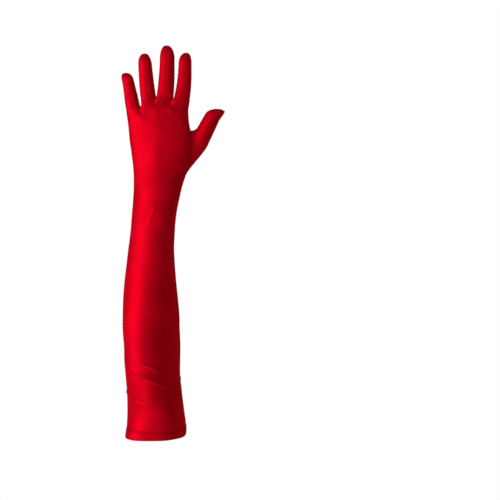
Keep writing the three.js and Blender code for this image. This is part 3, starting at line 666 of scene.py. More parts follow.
class ClothSheet:
    """A sheet of cloth in the making: points on its outer and inner face, and the cells between them."""

    def __init__(self, form: GloveForm) -> None:
        """Starts with no points, on the form that turns them."""
        self.form = form
        self.outer: list = []
        self.inner: list = []
        self.uv: list = []
        self.quads: list = []
        self.count = 0

    def add(self, outer: Array, inner: Array, uv: Array) -> Array:
        """Adds a grid of points.

        Args:
            outer, inner: grids (rows, columns, 3) in mm. uv: grid (rows, columns, 2) in mm.
        Returns:
            Their numbers, as a grid.
        """
        rows, columns = outer.shape[:2]
        self.outer.append(self.form.turned(outer).reshape(-1, 3))
        self.inner.append(self.form.turned(inner).reshape(-1, 3))
        self.uv.append(uv.reshape(-1, 2))
        numbers = self.count + np.arange(rows * columns).reshape(rows, columns)
        self.count += rows * columns
        return numbers

    def cells(self, grid: Array) -> None:
        """Joins a grid of point numbers into four-sided cells."""
        self.quads.append(grid_cells(grid))

    def finish(self, relief: ClothRelief, side: Side | None) -> "FinishedCloth":
        """Gives the sheet its relief, and closes it with a rim along every open edge.

        Args:
            relief: wrinkles, waves and seams. side: whose wrinkles it takes.
        """
        outer, inner = np.concatenate(self.outer), np.concatenate(self.inner)
        uv, quads = np.concatenate(self.uv), np.concatenate(self.quads)
        quads = facing(outer, quads, (outer[quads] - inner[quads]).mean(axis=1))
        rim = open_edges(quads, len(outer))
        away = distance_to(outer, outer[np.unique(rim)])
        normals = point_normals(outer, quads)
        lift = relief.at(outer, side) + relief.seam(outer, away)
        outer, inner = (face + normals * lift[:, None] for face in (outer, inner))
        return FinishedCloth(outer, inner, uv, quads, rim, away, point_normals(outer, quads))


def open_edges(quads: Array, count: int) -> Array:
    """The edges that only one cell has, as pairs in the cell's own direction.

    Args:
        quads: cells (n, 4). count: number of points.
    """
    pairs = np.concatenate([quads[:, [k, (k + 1) % 4]] for k in range(4)])
    keys = pairs.min(axis=1) * count + pairs.max(axis=1)
    _, first, uses = np.unique(keys, return_index=True, return_counts=True)
    return pairs[first[uses == 1]]


def distance_to(points: Array, marks: Array) -> Array:
    """Distance of each point from the nearest mark, worked out for a few thousand points at a time."""
    found, block = np.empty(len(points)), 2048
    for start in range(0, len(points), block):
        some = points[start:start + block]
        square = (some**2).sum(1)[:, None] + (marks**2).sum(1)[None] - 2 * some @ marks.T
        found[start:start + block] = np.sqrt(np.maximum(square.min(axis=1), 0))
    return found


def point_normals(points: Array, quads: Array) -> Array:
    """Unit normals at the points: the sum of the cross products of the diagonals of the cells around."""
    a, b, c, d = (points[quads[:, k]] for k in range(4))
    cross = np.cross(c - a, d - b)
    total = np.zeros_like(points)
    for k in range(4):
        for axis in range(3):
            total[:, axis] += np.bincount(quads[:, k], cross[:, axis], len(points))
    return unit(total)


def grid_lengths(points: Array) -> tuple:
    """Lengths along a grid's rows and columns, summed from its first column and first row.

    Returns:
        Two arrays (rows, columns): the way across and the way up, in mm.
    """
    across = np.linalg.norm(np.diff(points, axis=1), axis=-1)
    up = np.linalg.norm(np.diff(points, axis=0), axis=-1)
    zero_across, zero_up = np.zeros((points.shape[0], 1)), np.zeros((1, points.shape[1]))
    return (np.concatenate([zero_across, across.cumsum(axis=1)], axis=1),
            np.concatenate([zero_up, up.cumsum(axis=0)], axis=0))


@dataclass
class FinishedCloth:
    """A closed sheet of cloth, ready to be made a mesh. Points in mm."""

    outer: Array
    inner: Array
    uv: Array
    quads: Array
    rim: Array
    away: Array
    normals: Array
    # half width in mm of the band of painted shade along a seam
    seam_shade: float = 1.1

    def line(self, numbers: Array) -> tuple:
        """The outer points of those numbers, and their normals."""
        return self.outer[numbers], self.normals[numbers]

    def area(self) -> float:
        """Area of the outer face in square metres."""
        a, b, c, d = (self.outer[self.quads[:, k]] for k in range(4))
        return float(np.linalg.norm(np.cross(c - a, d - b), axis=1).sum() / 2) * MM * MM

    def make(self, name: str, finish: bpy.types.Material, nodes: tuple) -> bpy.types.Object:
        """Makes the piece: outer face, inner face turned round, and a flat-shaded rim.

        Args:
            name: the object's name. finish: its material. nodes: the solids that it stands for.
        """
        n = len(self.outer)
        a, b = self.rim[:, 0], self.rim[:, 1]
        rim = np.stack([b, a, a + n, b + n], axis=1)
        quads = np.concatenate([self.quads, self.quads[:, ::-1] + n, rim])
        uv = np.concatenate([self.uv, self.uv])
        away = np.concatenate([self.away, self.away])
        flat = np.zeros(len(quads), bool)
        flat[-len(rim):] = True
        # closeness to a seam: it darkens the satin there as painted shade, and roughens it
        seam = np.exp(-((away / self.seam_shade) ** 2))
        piece = make_mesh(name, np.concatenate([self.outer, self.inner]), quads, uv, flat, seam)
        dress(piece, finish, nodes)
        log.info("%s: %.5f square metres", name, self.area())
        return piece


def make_mesh(name: str, points: Array, quads: Array, uv: Array, flat: Array,
              seam: Array) -> bpy.types.Object:
    """Makes a mesh object of four-sided faces.

    Args:
        name: the object's name. points: (n, 3) in mm. quads: (m, 4). uv: (n, 2) in mm.
        flat: which faces are shaded flat. seam: (n,) closeness to a seam, from 0 to 1.
    Returns:
        The object, linked to the scene, at the origin.
    """
    mesh = bpy.data.meshes.new(name)
    mesh.vertices.add(len(points))
    mesh.vertices.foreach_set("co", (points * MM).astype(np.float32).ravel())
    mesh.loops.add(quads.size)
    mesh.loops.foreach_set("vertex_index", quads.astype(np.int32).ravel())
    mesh.polygons.add(len(quads))
    mesh.polygons.foreach_set("loop_start", np.arange(0, quads.size, 4, dtype=np.int32))
    mesh.polygons.foreach_set("use_smooth", ~flat)
    layer = mesh.uv_layers.new(name="cloth")
    layer.data.foreach_set("uv", (uv[quads.ravel()] * MM).astype(np.float32).ravel())
    mark = mesh.attributes.new("seam", "FLOAT", "POINT")
    mark.data.foreach_set("value", seam.astype(np.float32))
    mesh.update(calc_edges=True)
    mesh.validate()
    thing = bpy.data.objects.new(name, mesh)
    bpy.context.scene.collection.objects.link(thing)
    return thing


@dataclass(frozen=True)
class SatinFinish:
    """Red stretch satin: a warp-knit ground with a smooth, softly shining face."""

    name: str = "red_stretch_satin"
    colour: tuple = (0.80, 0.0005, 0.016)
    deep: tuple = (0.62, 0.0004, 0.011)
    # painted shade: the darker red that the satin takes in the seam grooves
    seam_shade_colour: tuple = (0.42, 0.0004, 0.009)
    shine: float = 0.62
    rough_low: float = 0.57
    rough_high: float = 0.64
    gloss: float = 0.05
    sheen: float = 0.02
    tint: tuple = (1.0, 0.02, 0.06)
    sheen_rough: float = 0.4
    sheen_tint: tuple = (1.0, 0.03, 0.08)
    clouds: float = 22.0
    slubs: float = 900.0
    slub_long: float = 0.14
    fuzz: float = 2600.0
    fuzz_long: float = 0.35
    yarn: float = 0.42
    course: float = 0.8
    tone_ends: tuple = (0.36, 0.62)
    cloud_share: float = 0.75
    # how far the colour goes towards the painted seam shade at a seam
    seam_shade_share: float = 0.75
    seam_rough: float = 0.12
    rib_share: float = 0.6
    fuzz_share: float = 0.6
    weave_bump: float = 0.16
    weave_deep: float = 0.00012

    def make(self) -> bpy.types.Material:
        """Makes the material.

        Returns:
            A material whose colour varies slowly over the glove and in fine slubs along the yarn, darkens
            near the seams as painted shade in their grooves, and whose roughness and bump follow the knit,
            in the piece's own UV map in metres.
        """
        m = bpy.data.materials.new(self.name)
        m.use_nodes = True
        tree = NodeTree(m)
        uv = tree.add("ShaderNodeTexCoord").outputs["UV"]
        place = tree.add("ShaderNodeTexCoord").outputs["Object"]
        seam = tree.add("ShaderNodeAttribute", attribute_name="seam").outputs["Fac"]

        cloudy = tree.noise(place, self.clouds, 3.0, 0.55)
        slubs = tree.noise(tree.mapped(uv, (1.0, self.slub_long, 1.0)), self.slubs, 2.0, 0.5)
        fuzz = tree.noise(tree.mapped(uv, (1.0, self.fuzz_long, 1.0)), self.fuzz, 2.0, 0.5)
        ribs = tree.bands(uv, "X", self.yarn)
        courses = tree.bands(uv, "Y", self.yarn * self.course)

        tone = tree.total((cloudy, self.cloud_share), (slubs, 1 - self.cloud_share))
        body = tree.blend(tree.ramp(tone, self.tone_ends), self.deep, self.colour)
        # painted shade: near each seam the colour is drawn towards the darker seam colour, standing in for
        # the shade in its groove
        seam_shaded = tree.blend(tree.math("MULTIPLY", seam, self.seam_shade_share), body, self.seam_shade_colour)
        rough = tree.ramp(tree.total((slubs, 0.5), (cloudy, 0.5)), (0.3, 0.7),
                          (self.rough_low, self.rough_high))
        knit = tree.total((ribs, self.rib_share), (courses, 1 - self.rib_share), (fuzz, self.fuzz_share))
        tree.set({
            "Base Color": seam_shaded,
            "Roughness": tree.total((rough, 1.0), (seam, self.seam_rough)),
            "Normal": tree.bump(knit, self.weave_bump, self.weave_deep),
            "Metallic": self.shine,
            "Specular IOR Level": self.gloss,
            "Specular Tint": self.tint,
            "Sheen Weight": self.sheen,
            "Sheen Roughness": self.sheen_rough,
            "Sheen Tint": self.sheen_tint,
        })
        return m


@dataclass(frozen=True)
class ThreadFinish:
    """Sewing thread, a little brighter and glossier than the cloth it holds."""

    name: str = "red_sewing_thread"
    colour: tuple = (0.86, 0.004, 0.03)
    rough: float = 0.32
    shine: float = 0.45
    tint: tuple = (1.0, 0.2, 0.25)
    twist: float = 0.22
    twist_dark: float = 0.72
    twist_bump: float = 0.35
    twist_deep: float = 0.00005

    def make(self) -> bpy.types.Material:
        """Makes the material, with the twist of the thread as fine bands along its UV map."""
        m = bpy.data.materials.new(self.name)
        m.use_nodes = True
        tree = NodeTree(m)
        uv = tree.add("ShaderNodeTexCoord").outputs["UV"]
        twist = tree.bands(uv, "DIAGONAL", self.twist)
        tree.set({
            "Base Color": tree.blend(twist, tuple(self.twist_dark * c for c in self.colour), self.colour),
            "Normal": tree.bump(twist, self.twist_bump, self.twist_deep),
            "Roughness": self.rough,
            "Metallic": self.shine,
            "Specular Tint": self.tint,
        })
        return m


class NodeTree:
    """Short ways to lay out a material's nodes."""

    def __init__(self, m: bpy.types.Material) -> None:
        """Takes the material's own node tree."""
        self.tree = m.node_tree
        self.shader = self.tree.nodes["Principled BSDF"]

    def add(self, kind: str, **values: object) -> bpy.types.Node:
        """Adds a node and sets its plain properties."""
        node = self.tree.nodes.new(kind)
        for key, value in values.items():
            setattr(node, key, value)
        return node

    def link(self, out: object, socket: bpy.types.NodeSocket) -> None:
        """Joins an output, or sets a plain number or colour."""
        if isinstance(out, bpy.types.NodeSocket):
            self.tree.links.new(out, socket)
        elif isinstance(out, tuple):
            socket.default_value = (*out, 1.0)
        else:
            socket.default_value = out

    def set(self, values: dict) -> None:
        """Joins or sets the shader's sockets, by their names."""
        for name, value in values.items():
            self.link(value, self.shader.inputs[name])

    def bump(self, height: object, strength: float, deep: float) -> bpy.types.NodeSocket:
        """The normal of a relief `deep` metres high."""
        node = self.add("ShaderNodeBump")
        node.inputs["Strength"].default_value, node.inputs["Distance"].default_value = strength, deep
        self.link(height, node.inputs["Height"])
        return node.outputs["Normal"]

    def total(self, *parts: tuple) -> bpy.types.NodeSocket:
        """The sum of outputs, each times its own share."""
        terms = [self.math("MULTIPLY", out, share) if share != 1 else out for out, share in parts]
        whole = terms[0]
        for term in terms[1:]:
            whole = self.math("ADD", whole, term)
        return whole

    def mapped(self, vector: bpy.types.NodeSocket, scale: tuple) -> bpy.types.NodeSocket:
        """The vector with each axis scaled."""
        node = self.add("ShaderNodeMapping")
        node.inputs["Scale"].default_value = scale
        self.link(vector, node.inputs["Vector"])
        return node.outputs["Vector"]

    def noise(self, vector: bpy.types.NodeSocket, scale: float, detail: float, rough: float) -> object:
        """A noise texture's value."""
        node = self.add("ShaderNodeTexNoise")
        node.inputs["Scale"].default_value = scale
        node.inputs["Detail"].default_value = detail
        node.inputs["Roughness"].default_value = rough
        self.link(vector, node.inputs["Vector"])
        return node.outputs["Fac"]

    def bands(self, vector: bpy.types.NodeSocket, way: str, pitch: float) -> object:
        """Sine bands across an axis, one every `pitch` mm of the UV map."""
        node = self.add("ShaderNodeTexWave", wave_type="BANDS", bands_direction=way, wave_profile="SIN")
        node.inputs["Scale"].default_value = 2 * math.pi / 20 / (pitch * MM)
        node.inputs["Distortion"].default_value = 0.6
        node.inputs["Detail"].default_value = 1.0
        self.link(vector, node.inputs["Vector"])
        return node.outputs["Fac"]

    def math(self, what: str, a: object, b: object) -> bpy.types.NodeSocket:
        """A Math node."""
        node = self.add("ShaderNodeMath", operation=what)
        self.link(a, node.inputs[0])
        self.link(b, node.inputs[1])
        return node.outputs[0]

    def ramp(self, value: object, ends: tuple, to: tuple = (0.0, 1.0)) -> bpy.types.NodeSocket:
        """A value between the two ends, taken to the same place between the two numbers in `to`."""
        node = self.add("ShaderNodeMapRange")
        node.inputs["From Min"].default_value, node.inputs["From Max"].default_value = ends
        node.inputs["To Min"].default_value, node.inputs["To Max"].default_value = to
        self.link(value, node.inputs["Value"])
        return node.outputs["Result"]

    def blend(self, share: object, a: object, b: object) -> bpy.types.NodeSocket:
        """A colour between a and b."""
        node = self.add("ShaderNodeMix", data_type="RGBA")
        self.link(share, node.inputs["Factor"])
        self.link(a, node.inputs["A"])
        self.link(b, node.inputs["B"])
        return node.outputs["Result"]


def dress(piece: bpy.types.Object, finish: bpy.types.Material, nodes: tuple) -> None:
    """Gives a piece its finish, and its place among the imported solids.

    Args:
        piece: the new object. finish: its material. nodes: the solids that it stands for.
    """
    piece.data.materials.append(finish)
    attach(piece, "root")
    if nodes:
        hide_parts(*nodes)
    log.info("%s: %d faces, for %s", piece.name, len(piece.data.polygons), ", ".join(nodes) or "no solid")


@dataclass
class Panel:
    """The back or palm panel, from the hem to the fingertips."""

    form: GloveForm
    relief: ClothRelief
    side: Side
    columns: int = 26
    elbow_rows: int = 124
    forearm_rows: int = 126
    wrist_rows: int = 12
    thumb_rows: int = 46
    knuckle_rows: int = 36
    finger_rows: int = 56
    seam_crowd: float = 0.86
    edge_crowd: float = 0.72
    elbow_crowd: float = 1.06
    under_hem: float = 1.2

    def heights(self) -> Array:
        """Heights of the rows below the thumb seam's upper end, closer where the cloth folds."""
        form = self.form
        elbow, start = form.elbow_share * form.arm_length, form.hem_height - self.under_hem
        turn = (1 - np.cos(np.linspace(0, math.pi, self.thumb_rows))) / 2
        return np.concatenate([
            mix(start, elbow, np.linspace(0, 1, self.elbow_rows) ** self.elbow_crowd)[:-1],
            np.linspace(elbow, form.arm_length, self.forearm_rows)[:-1],
            np.linspace(form.arm_length, form.thumb_low, self.wrist_rows)[:-1],
            mix(form.thumb_low, form.thumb_high, turn)[:-1],
        ])

    def below_slits(self) -> tuple:
        """The panel from the hem to the slits between the fingers.

        Returns:
            Its outer and inner points, each a grid (rows, columns, 3).
        """
        form, base = self.form, self.heights()
        rise = np.linspace(0, 1, self.knuckle_rows + 1)[:, None]
        across = crowded(np.linspace(0, 1, self.columns + 1), self.seam_crowd)
        blocks = []
        for i in range(len(form.fingers)):
            share_low = self.column_shares(i, base)
            share_high = np.broadcast_to(across, (self.knuckle_rows + 1, len(across)))
            share = np.concatenate([share_low, share_high])
            faces = []
            for inset in (0.0, form.cloth):
                slit = form.slit(i, share_high, self.side, inset)
                z_low = np.broadcast_to(base[:, None], share_low.shape)
                z = np.concatenate([z_low, mix(form.thumb_high, slit, rise)])
                faces.append(form.panel(i, share, z, self.side, inset))
            blocks.append(faces if i == len(form.fingers) - 1 else [face[:, :-1] for face in faces])
        return tuple(np.concatenate([b[k] for b in blocks], axis=1) for k in (0, 1))

    def above_slit(self, i: int) -> list:
        """Finger i's part of the panel from the slits to its tip, outer and inner, without the row that it
        shares with the part below."""
        form, f = self.form, self.form.fingers[i]
        up = ((1 - np.cos(np.linspace(0, math.pi, self.finger_rows + 1))) / 2)[1:, None]
        across = crowded(np.linspace(0, 1, self.columns + 1), self.seam_crowd)
        share = np.broadcast_to(across, (len(up), len(across)))
        faces = []
        for inset in (0.0, form.cloth):
            z = mix(form.slit(i, share, self.side, inset), f.tip_z - inset, up)
            faces.append(form.strip(i, share, z, self.side, inset))
        return faces

    def build(self, finish: bpy.types.Material) -> tuple:
        """Builds the panel.

        Returns:
            The object, and its seam on the little finger's side as (points, normals).
        """
        sheet, (outer, inner) = ClothSheet(self.form), self.below_slits()
        across, _ = grid_lengths(outer)
        middle = 2 * self.columns
        uv = np.stack([across - across[:, middle:middle + 1], outer[..., 2]], axis=-1)
        body = sheet.add(outer, inner, uv)
        sheet.cells(body)
        side_seam = [body[:, 0]]
        for i in range(len(self.form.fingers)):
            root = np.s_[-1:, i * self.columns:(i + 1) * self.columns + 1]
            face, lining = self.above_slit(i)
            wide, high = grid_lengths(np.concatenate([outer[root], face]))
            finger_uv = np.stack([uv[root][0, 0, 0] + wide[1:], uv[root][..., 1] + high[1:]], axis=-1)
            numbers = sheet.add(face, lining, finger_uv)
            sheet.cells(np.concatenate([body[root], numbers]))
            if i == 0:
                side_seam.append(numbers[:, 0])
        cloth = sheet.finish(self.relief, self.side)
        part = self.side.name.lower()
        piece = cloth.make(f"cloth_{part}", finish, (f"sleeve_{part}", f"hand_{part}"))
        return piece, cloth.line(np.concatenate(side_seam))

    def column_shares(self, i: int, z: Array) -> Array:
        """Places of finger i's columns at each height: crowded to the panel's two outer edges on the
        sleeve, and to both edges of every finger from the thumb's seam upwards.

        Returns:
            Array (heights, columns + 1), from 0 to 1 across the finger.
        """
        t = np.linspace(0, 1, self.columns + 1)
        spread = crowded((i + t) / len(self.form.fingers), self.edge_crowd)
        spread = (spread - spread[0]) / (spread[-1] - spread[0])
        share = smooth(z, self.form.arm_length, self.form.thumb_high)[:, None]
        return mix(spread[None], crowded(t, self.seam_crowd)[None], share)


@dataclass
class Fourchette:
    """The strip between two fingers: down the side of one, over the web and up the side of the next."""

    form: GloveForm
    relief: ClothRelief
    web: Web
    columns: int = 14
    rows: int = 56
    edge_crowd: float = 0.25
    end_share: float = 0.985

    def build(self, finish: bpy.types.Material) -> tuple:
        """Builds the strip on the web's surface, with its rows closer at the web and at the points.

        Returns:
            The object, and its two seam lines as (points, normals).
        """
        form = self.form
        across = np.linspace(1, -1, self.columns + 1)
        across = across + self.edge_crowd * np.sin(math.pi * across) / math.pi
        u = (1 - np.cos(np.linspace(0, math.pi, self.rows + 1))) / 2
        legs = [(0, u[:0:-1]), (1, u)]
        end = mix(form.fourchette_taper, form.fourchette_point, self.end_share)
        faces = []
        for inset in (0.0, form.cloth):
            parts = []
            for leg, ups in legs:
                f = form.fingers[self.web.left + leg]
                place = np.broadcast_to(across, (len(ups), len(across)))
                bottom = form.web_bottom(self.web, place, 1, inset)
                z = mix(bottom, f.root_z + end * f.length, ups[:, None])
                parts.append(form.web(self.web, leg, z, place, 0, 1, inset))
            faces.append(np.concatenate(parts))
        wide, high = grid_lengths(faces[0])
        sheet = ClothSheet(form)
        sheet.cells(sheet.add(faces[0], faces[1], np.stack([wide, high], axis=-1)))
        cloth = sheet.finish(self.relief, None)
        left, right = (form.fingers[self.web.left + k].name for k in (0, 1))
        node = f"fourchette_{left}_{right}"
        piece = cloth.make(f"cloth_{node}", finish, (node,))
        grid = np.arange(len(cloth.outer)).reshape(-1, len(across))
        return piece, [cloth.line(grid[:, k]) for k in (0, -1)]


@dataclass
class ThumbHalf:
    """The back or palm half of the set-in thumb."""

    form: GloveForm
    relief: ClothRelief
    side: Side
    columns: int = 44
    join_rows: int = 40
    tube_rows: int = 50
    edge_crowd: float = 0.35
    seam_crowd: float = 1.35
    tip_crowd: float = 0.9
    seam_gaps: float = 1.5

    def build(self, finish: bpy.types.Material) -> tuple:
        """Builds the half on the thumb's surface: rows from the seam to the tip, columns from the outer
        side to the inner one.

        Returns:
            The object, and its seams at the base, the outer and the inner side, as (points, normals).
        """
        form = self.form
        angle = -self.side.value * math.pi * crowded(np.linspace(0, 1, self.columns + 1), self.edge_crowd)
        join = np.linspace(0, 1, self.join_rows) ** self.seam_crowd - 1
        tube = np.sin(np.linspace(0, math.pi / 2, self.tube_rows + 1)) ** self.tip_crowd
        up = np.concatenate([join[:-1], tube])[:, None]
        up, angle = np.broadcast_arrays(up, angle[None])
        gap = self.seam_gaps * form.seam_gap / (form.join_start * form.join_length(angle))
        place = np.maximum(up, gap - 1)
        shift = np.array([0, self.side.value * form.seam_gap / 2, 0])
        outer = form.thumb(place, angle) + shift
        inner = form.thumb_inner(place, angle, form.cloth) + shift
        wide, high = grid_lengths(outer)
        sheet = ClothSheet(form)
        sheet.cells(sheet.add(outer, inner, np.stack([wide, high], axis=-1)))
        cloth = sheet.finish(self.relief, None)
        node = f"thumb_{self.side.name.lower()}"
        piece = cloth.make(f"cloth_{node}", finish, (node,))
        grid = np.arange(len(cloth.outer)).reshape(outer.shape[:2])
        return piece, [cloth.line(numbers) for numbers in (grid[0], grid[:, 0], grid[:, -1])]


@dataclass
class TurnedHem:
    """The hem: cloth turned up inside and stitched, a ring of two layers round the arm opening."""

    form: GloveForm
    thick: float = 2.0
    proud: float = 0.42
    height: float = 12.0
    stitch_line: float = 9.6
    around: int = 300
    profile_points: int = 44
    profile_radius: float = 4.4
    square: float = 5.0
    corner_crowd: float = 0.18
    groove_deep: float = 0.22
    groove_wide: float = 0.7
    ripple_high: float = 0.05
    ripple_wide: float = 1.6
    ripples: int = 100
    # height of each slow wave of the lower edge, how many go round, and phase
    edge_waves: tuple = ((0.14, 3, 0.6), (0.1, 7, 1.9))
    # width and strength of the painted shade along the hem's stitch groove
    seam_wide: float = 0.8
    hem_shade_share: float = 0.6

    def surface(self, turn: Array, s: Array) -> Array:
        """A point of the ring: a superellipse profile carried round the opening's outline, with a shallow
        groove under the stitches on its outer face and slow waves in its lower edge.

        Args:
            turn: way round, 0 to 2 pi. s: way round the profile, 0 to 2 pi.
        """
        out, up = power(np.cos(s), 2 / self.square), power(np.sin(s), 2 / self.square)
        z = self.height / 2 * (1 + up)
        off = z - self.stitch_line
        pulled = self.groove_deep * np.exp(-((off / self.groove_wide) ** 2)) * smooth(out, 0.2, 0.8)
        ripple = self.ripple_high * np.sin(turn * self.ripples) * np.exp(-((off / self.ripple_wide) ** 2))
        inset = self.thick / 2 - self.proud - out * self.thick / 2 + pulled - ripple
        edge = sum(high * np.sin(count * turn + phase) for high, count, phase in self.edge_waves)
        side = np.where(turn < math.pi, -1, 1)
        angle = np.where(turn < math.pi, turn, 2 * math.pi - turn)
        hanging = point_at(0, 0, edge * (1 - smooth(z, 0, self.height)))
        return self.form.body(z, angle, side, inset) + hanging

    def build(self, finish: bpy.types.Material) -> tuple:
        """Builds the ring as a closed grid in both ways.

        Returns:
            The object, and the line of its stitches as (points, normals).
        """
        turn = np.linspace(0, 2 * math.pi, self.around, endpoint=False)
        s = np.linspace(0, 2 * math.pi, self.profile_points, endpoint=False)
        s = s + self.corner_crowd * np.sin(4 * s) / 4
        shape = (self.around, self.profile_points)
        points = self.surface(turn[:, None], s[None]).reshape(-1, 3)
        numbers = np.arange(len(points)).reshape(shape)
        quads = grid_cells(np.concatenate([numbers, numbers[:1]]), closed=True)
        quads = facing(points, quads, points[quads].mean(axis=1))
        uv = point_at(turn[:, None] * self.form.opening_width / 2, s * self.profile_radius, 0)
        uv, flat = uv.reshape(-1, 3)[:, :2], np.zeros(len(quads), bool)
        # painted shade: the seam mark along the stitch line darkens the satin there, as shade in the stitch
        # groove
        seam = self.hem_shade_share * np.exp(-(((points[:, 2] - self.stitch_line) / self.seam_wide) ** 2))
        piece = make_mesh("cloth_hem", points, quads, uv, flat, seam)
        dress(piece, finish, ("hem",))
        rise = (2 * self.stitch_line / self.height - 1) ** (self.square / 2)
        behind = np.where(np.cos(s) < 0, math.inf, 0)
        sewn = numbers[:, int(np.argmin(np.abs(np.sin(s) - rise) + behind))]
        sewn = np.append(sewn, sewn[0])
        return piece, (points[sewn], point_normals(points, quads)[sewn])


@dataclass
class Stitches:
    """Fine machine stitches along the seams: each a short bead of thread, all in one mesh."""

    long: float = 1.5
    pitch: float = 2.1
    thick: float = 0.15
    lift: float = 0.06
    dip: float = 0.16
    end_fat: float = 0.07
    sides: int = 6
    rings: int = 5

    def bead(self) -> tuple:
        """One stitch along X: rings of an ellipsoid whose ends dip into the cloth.

        Returns:
            Points (n, 3) in mm and cells (m, 4).
        """
        t = np.linspace(-1, 1, self.rings)
        turn = np.linspace(0, 2 * math.pi, self.sides, endpoint=False)
        t = t[:, None]
        fat = self.thick * np.sqrt(1 - (1 - self.end_fat) * t**2)
        points = point_at(t * self.long / 2, fat * np.cos(turn), fat * np.sin(turn) - self.dip * t**2)
        grid = np.arange(self.rings * self.sides).reshape(self.rings, self.sides)
        low = np.array([[0, k + 1, k + 2, k + 3] for k in range(0, self.sides - 3, 2)])
        top = low[:, ::-1] + grid[-1, 0]
        return points.reshape(-1, 3), np.concatenate([grid_cells(grid, closed=True)[:, ::-1], low, top])

    def along(self, line: Array, normals: Array) -> tuple:
        """Frames of the stitches on a line: evenly spaced by length, with the line's direction and normal.

        Args:
            line: points in mm. normals: at those points.
        Returns:
            Places, directions and normals, each (n, 3).
        """
        step = np.linalg.norm(np.diff(line, axis=0), axis=1)
        keep = np.concatenate([[True], step > 1e-6])
        line, normals = line[keep], normals[keep]
        length = np.concatenate([[0], np.linalg.norm(np.diff(line, axis=0), axis=1).cumsum()])
        at, near = np.arange(self.pitch / 2, length[-1], self.pitch), 0.4

        def value(column_points: Array, where: Array) -> Array:
            """The points or normals at those lengths along the line."""
            return np.stack([np.interp(where, length, column_points[:, k]) for k in range(3)], axis=1)

        way = unit(value(line, at + near) - value(line, at - near))
        normal = value(normals, at)
        normal = unit(normal - way * np.einsum("ij,ij->i", way, normal)[:, None])
        return value(line, at) + normal * self.lift, way, normal

    def build(self, name: str, lines: list, finish: bpy.types.Material) -> bpy.types.Object:
        """Sews along the lines.

        Args:
            name: the object's name. lines: (points, normals) each. finish: the thread.
        Returns:
            One object with all the stitches.
        """
        places, ways, normals = (np.concatenate(v) for v in zip(*(self.along(*line) for line in lines)))
        points, quads = self.bead()
        sideways = np.cross(normals, ways)
        axes = np.stack([ways, sideways, normals], axis=1)
        whole = (places[:, None] + np.einsum("vk,skj->svj", points, axes)).reshape(-1, 3)
        quads = (quads + (np.arange(len(places)) * len(points))[:, None, None]).reshape(-1, 4)
        uv = np.tile(np.stack([points[:, 0], points[:, 1] + points[:, 2]], axis=1), (len(places), 1))
        piece = make_mesh(name, whole, quads, uv, np.zeros(len(quads), bool), np.zeros(len(whole)))
        dress(piece, finish, ())
        log.info("%s: %d stitches", name, len(places))
        return piece


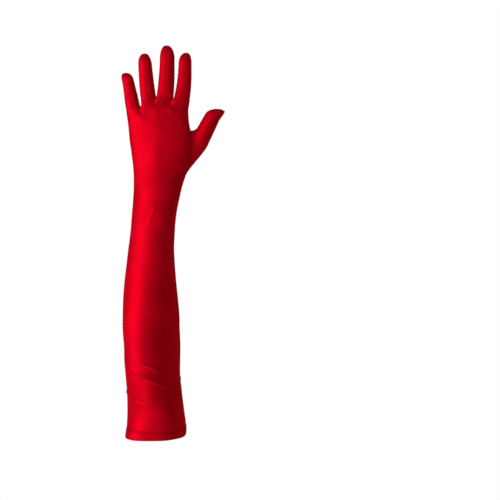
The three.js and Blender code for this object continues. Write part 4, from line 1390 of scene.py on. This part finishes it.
@dataclass
class Studio:
    """A plain white floor that runs up into a plain white backdrop, one large soft light from the left, a
    weak one from low on the left and one from behind on the right, even light from all round, and the
    camera. Lengths in metres."""

    centre: tuple = (0.0, 0.0, 0.245)
    # name, turn and lift in degrees, distance, edge, watts
    lights: tuple = (
        ("key_light", -61, 3, 2.4, 1.1, 35.5),
        ("floor_light", -40, -50, 2.0, 0.7, 7.0),
        ("back_light", 112, 5, 2.0, 0.7, 1.2),
    )
    around: float = 0.24
    floor_z: float = -0.45
    room: float = 7.0
    floor_share: float = 0.8
    floor_rows: float = 0.4
    dome_start: float = 2.2
    dome_close: float = 1.6
    camera_place: tuple = (0.12455, -1.25, 0.2451)
    lens: float = 67.92

    def build(self) -> None:
        """Builds the studio round the glove."""
        scene = bpy.context.scene
        scene.view_settings.view_transform = "Standard"
        scene.view_settings.look = "None"
        world = bpy.data.worlds.new("even_light")
        world.use_nodes = True
        sky = world.node_tree.nodes["Background"]
        sky.inputs["Color"].default_value = (1, 1, 1, 1)
        sky.inputs["Strength"].default_value = self.around
        scene.world = world
        for name, turn, lift, *rest in self.lights:
            self.light(name, math.radians(turn), math.radians(lift), *rest)
        self.backdrop()
        data = bpy.data.cameras.new("camera")
        data.lens, data.sensor_width, data.sensor_fit = self.lens, 36.0, "HORIZONTAL"
        data.clip_start, data.clip_end = 0.01, 60.0
        camera = bpy.data.objects.new("camera", data)
        camera.location = self.camera_place
        camera.rotation_euler = (math.pi / 2, 0, 0)
        scene.collection.objects.link(camera)
        scene.camera = camera

    def light(self, name: str, turn: float, lift: float, far: float, size: float, watts: float) -> None:
        """A square soft light that faces the glove.

        Args:
            name: its name. turn: way round from the front, positive to the thumb's side.
            lift: its angle above the glove's middle, both in radians. far: distance. size: edge.
            watts: its power.
        """
        data = bpy.data.lights.new(name, "AREA")
        data.shape, data.size, data.energy = "SQUARE", size, watts
        thing = bpy.data.objects.new(name, data)
        way = Vector((math.sin(turn) * math.cos(lift), -math.cos(turn) * math.cos(lift), math.sin(lift)))
        thing.location = Vector(self.centre) + way * far
        thing.rotation_euler = way.to_track_quat("Z", "Y").to_euler()
        bpy.context.scene.collection.objects.link(thing)

    def backdrop(self) -> None:
        """Floor and backdrop in one surface of revolution: flat to the rim, then a quarter circle up and a
        dome over it, all the same white."""
        t, floor = np.linspace(0, 1, 60), self.floor_rows
        flat = t[t <= floor] / floor * self.room * self.floor_share
        bend = (t[t > floor] - floor) / (1 - floor) * math.pi
        wall = self.floor_share + (1 - self.floor_share) * np.sin(bend)
        dome = np.cos(np.maximum(bend - self.dome_start, 0) * self.dome_close)
        r = np.maximum(np.concatenate([flat, self.room * wall * dome]), MM)[:, None]
        z = np.concatenate([0 * flat, self.room * 0.5 * (1 - np.cos(bend))])[:, None]
        turn = np.linspace(0, 2 * math.pi, 73)[:-1]
        points = point_at(r * np.cos(turn), r * np.sin(turn), z + self.floor_z) / MM
        quads = grid_cells(np.arange(points[..., 0].size).reshape(points.shape[:2]), closed=True)
        points = points.reshape(-1, 3)
        smooth_faces, no_seam = np.zeros(len(quads), bool), np.zeros(len(points))
        room = make_mesh("floor_and_backdrop", points, quads, points[:, :2], smooth_faces, no_seam)
        white = bpy.data.materials.new("plain_white")
        white.use_nodes = True
        nodes = white.node_tree.nodes
        glow = nodes.new("ShaderNodeEmission")
        glow.inputs["Color"].default_value = (1, 1, 1, 1)
        glow.inputs["Strength"].default_value = 1.0
        white.node_tree.links.new(glow.outputs[0], nodes["Material Output"].inputs["Surface"])
        room.data.materials.append(white)
        room.visible_diffuse = room.visible_glossy = room.visible_shadow = False
        room.visible_transmission = room.visible_volume_scatter = False


def main() -> None:
    """Builds the glove piece by piece in its studio."""
    logging.basicConfig(level=logging.INFO, format="%(name)s: %(message)s")
    form, relief = GloveForm(), ClothRelief()
    Studio().build()
    satin, thread = SatinFinish().make(), ThreadFinish().make()
    back_cloth, side_seam = Panel(form, relief, Side.BACK).build(satin)
    palm_cloth, _ = Panel(form, relief, Side.PALM).build(satin)
    hem_cloth, hem_line = TurnedHem(form).build(satin)
    fourchettes = [Fourchette(form, relief, web).build(satin) for web in form.webs]
    thumbs = [ThumbHalf(form, relief, side).build(satin) for side in Side]
    lines = [line for _, pair in fourchettes for line in pair]
    lines += [base for _, (base, _, _) in thumbs] + thumbs[0][1][1:] + [side_seam]
    seams = Stitches().build("seam_stitches", lines, thread)
    hem_thread = Stitches(long=1.9, pitch=2.6, thick=0.13, lift=0.05)
    hem_stitches = hem_thread.build("hem_stitches", [hem_line], thread)


if __name__ == "__main__":
    main()
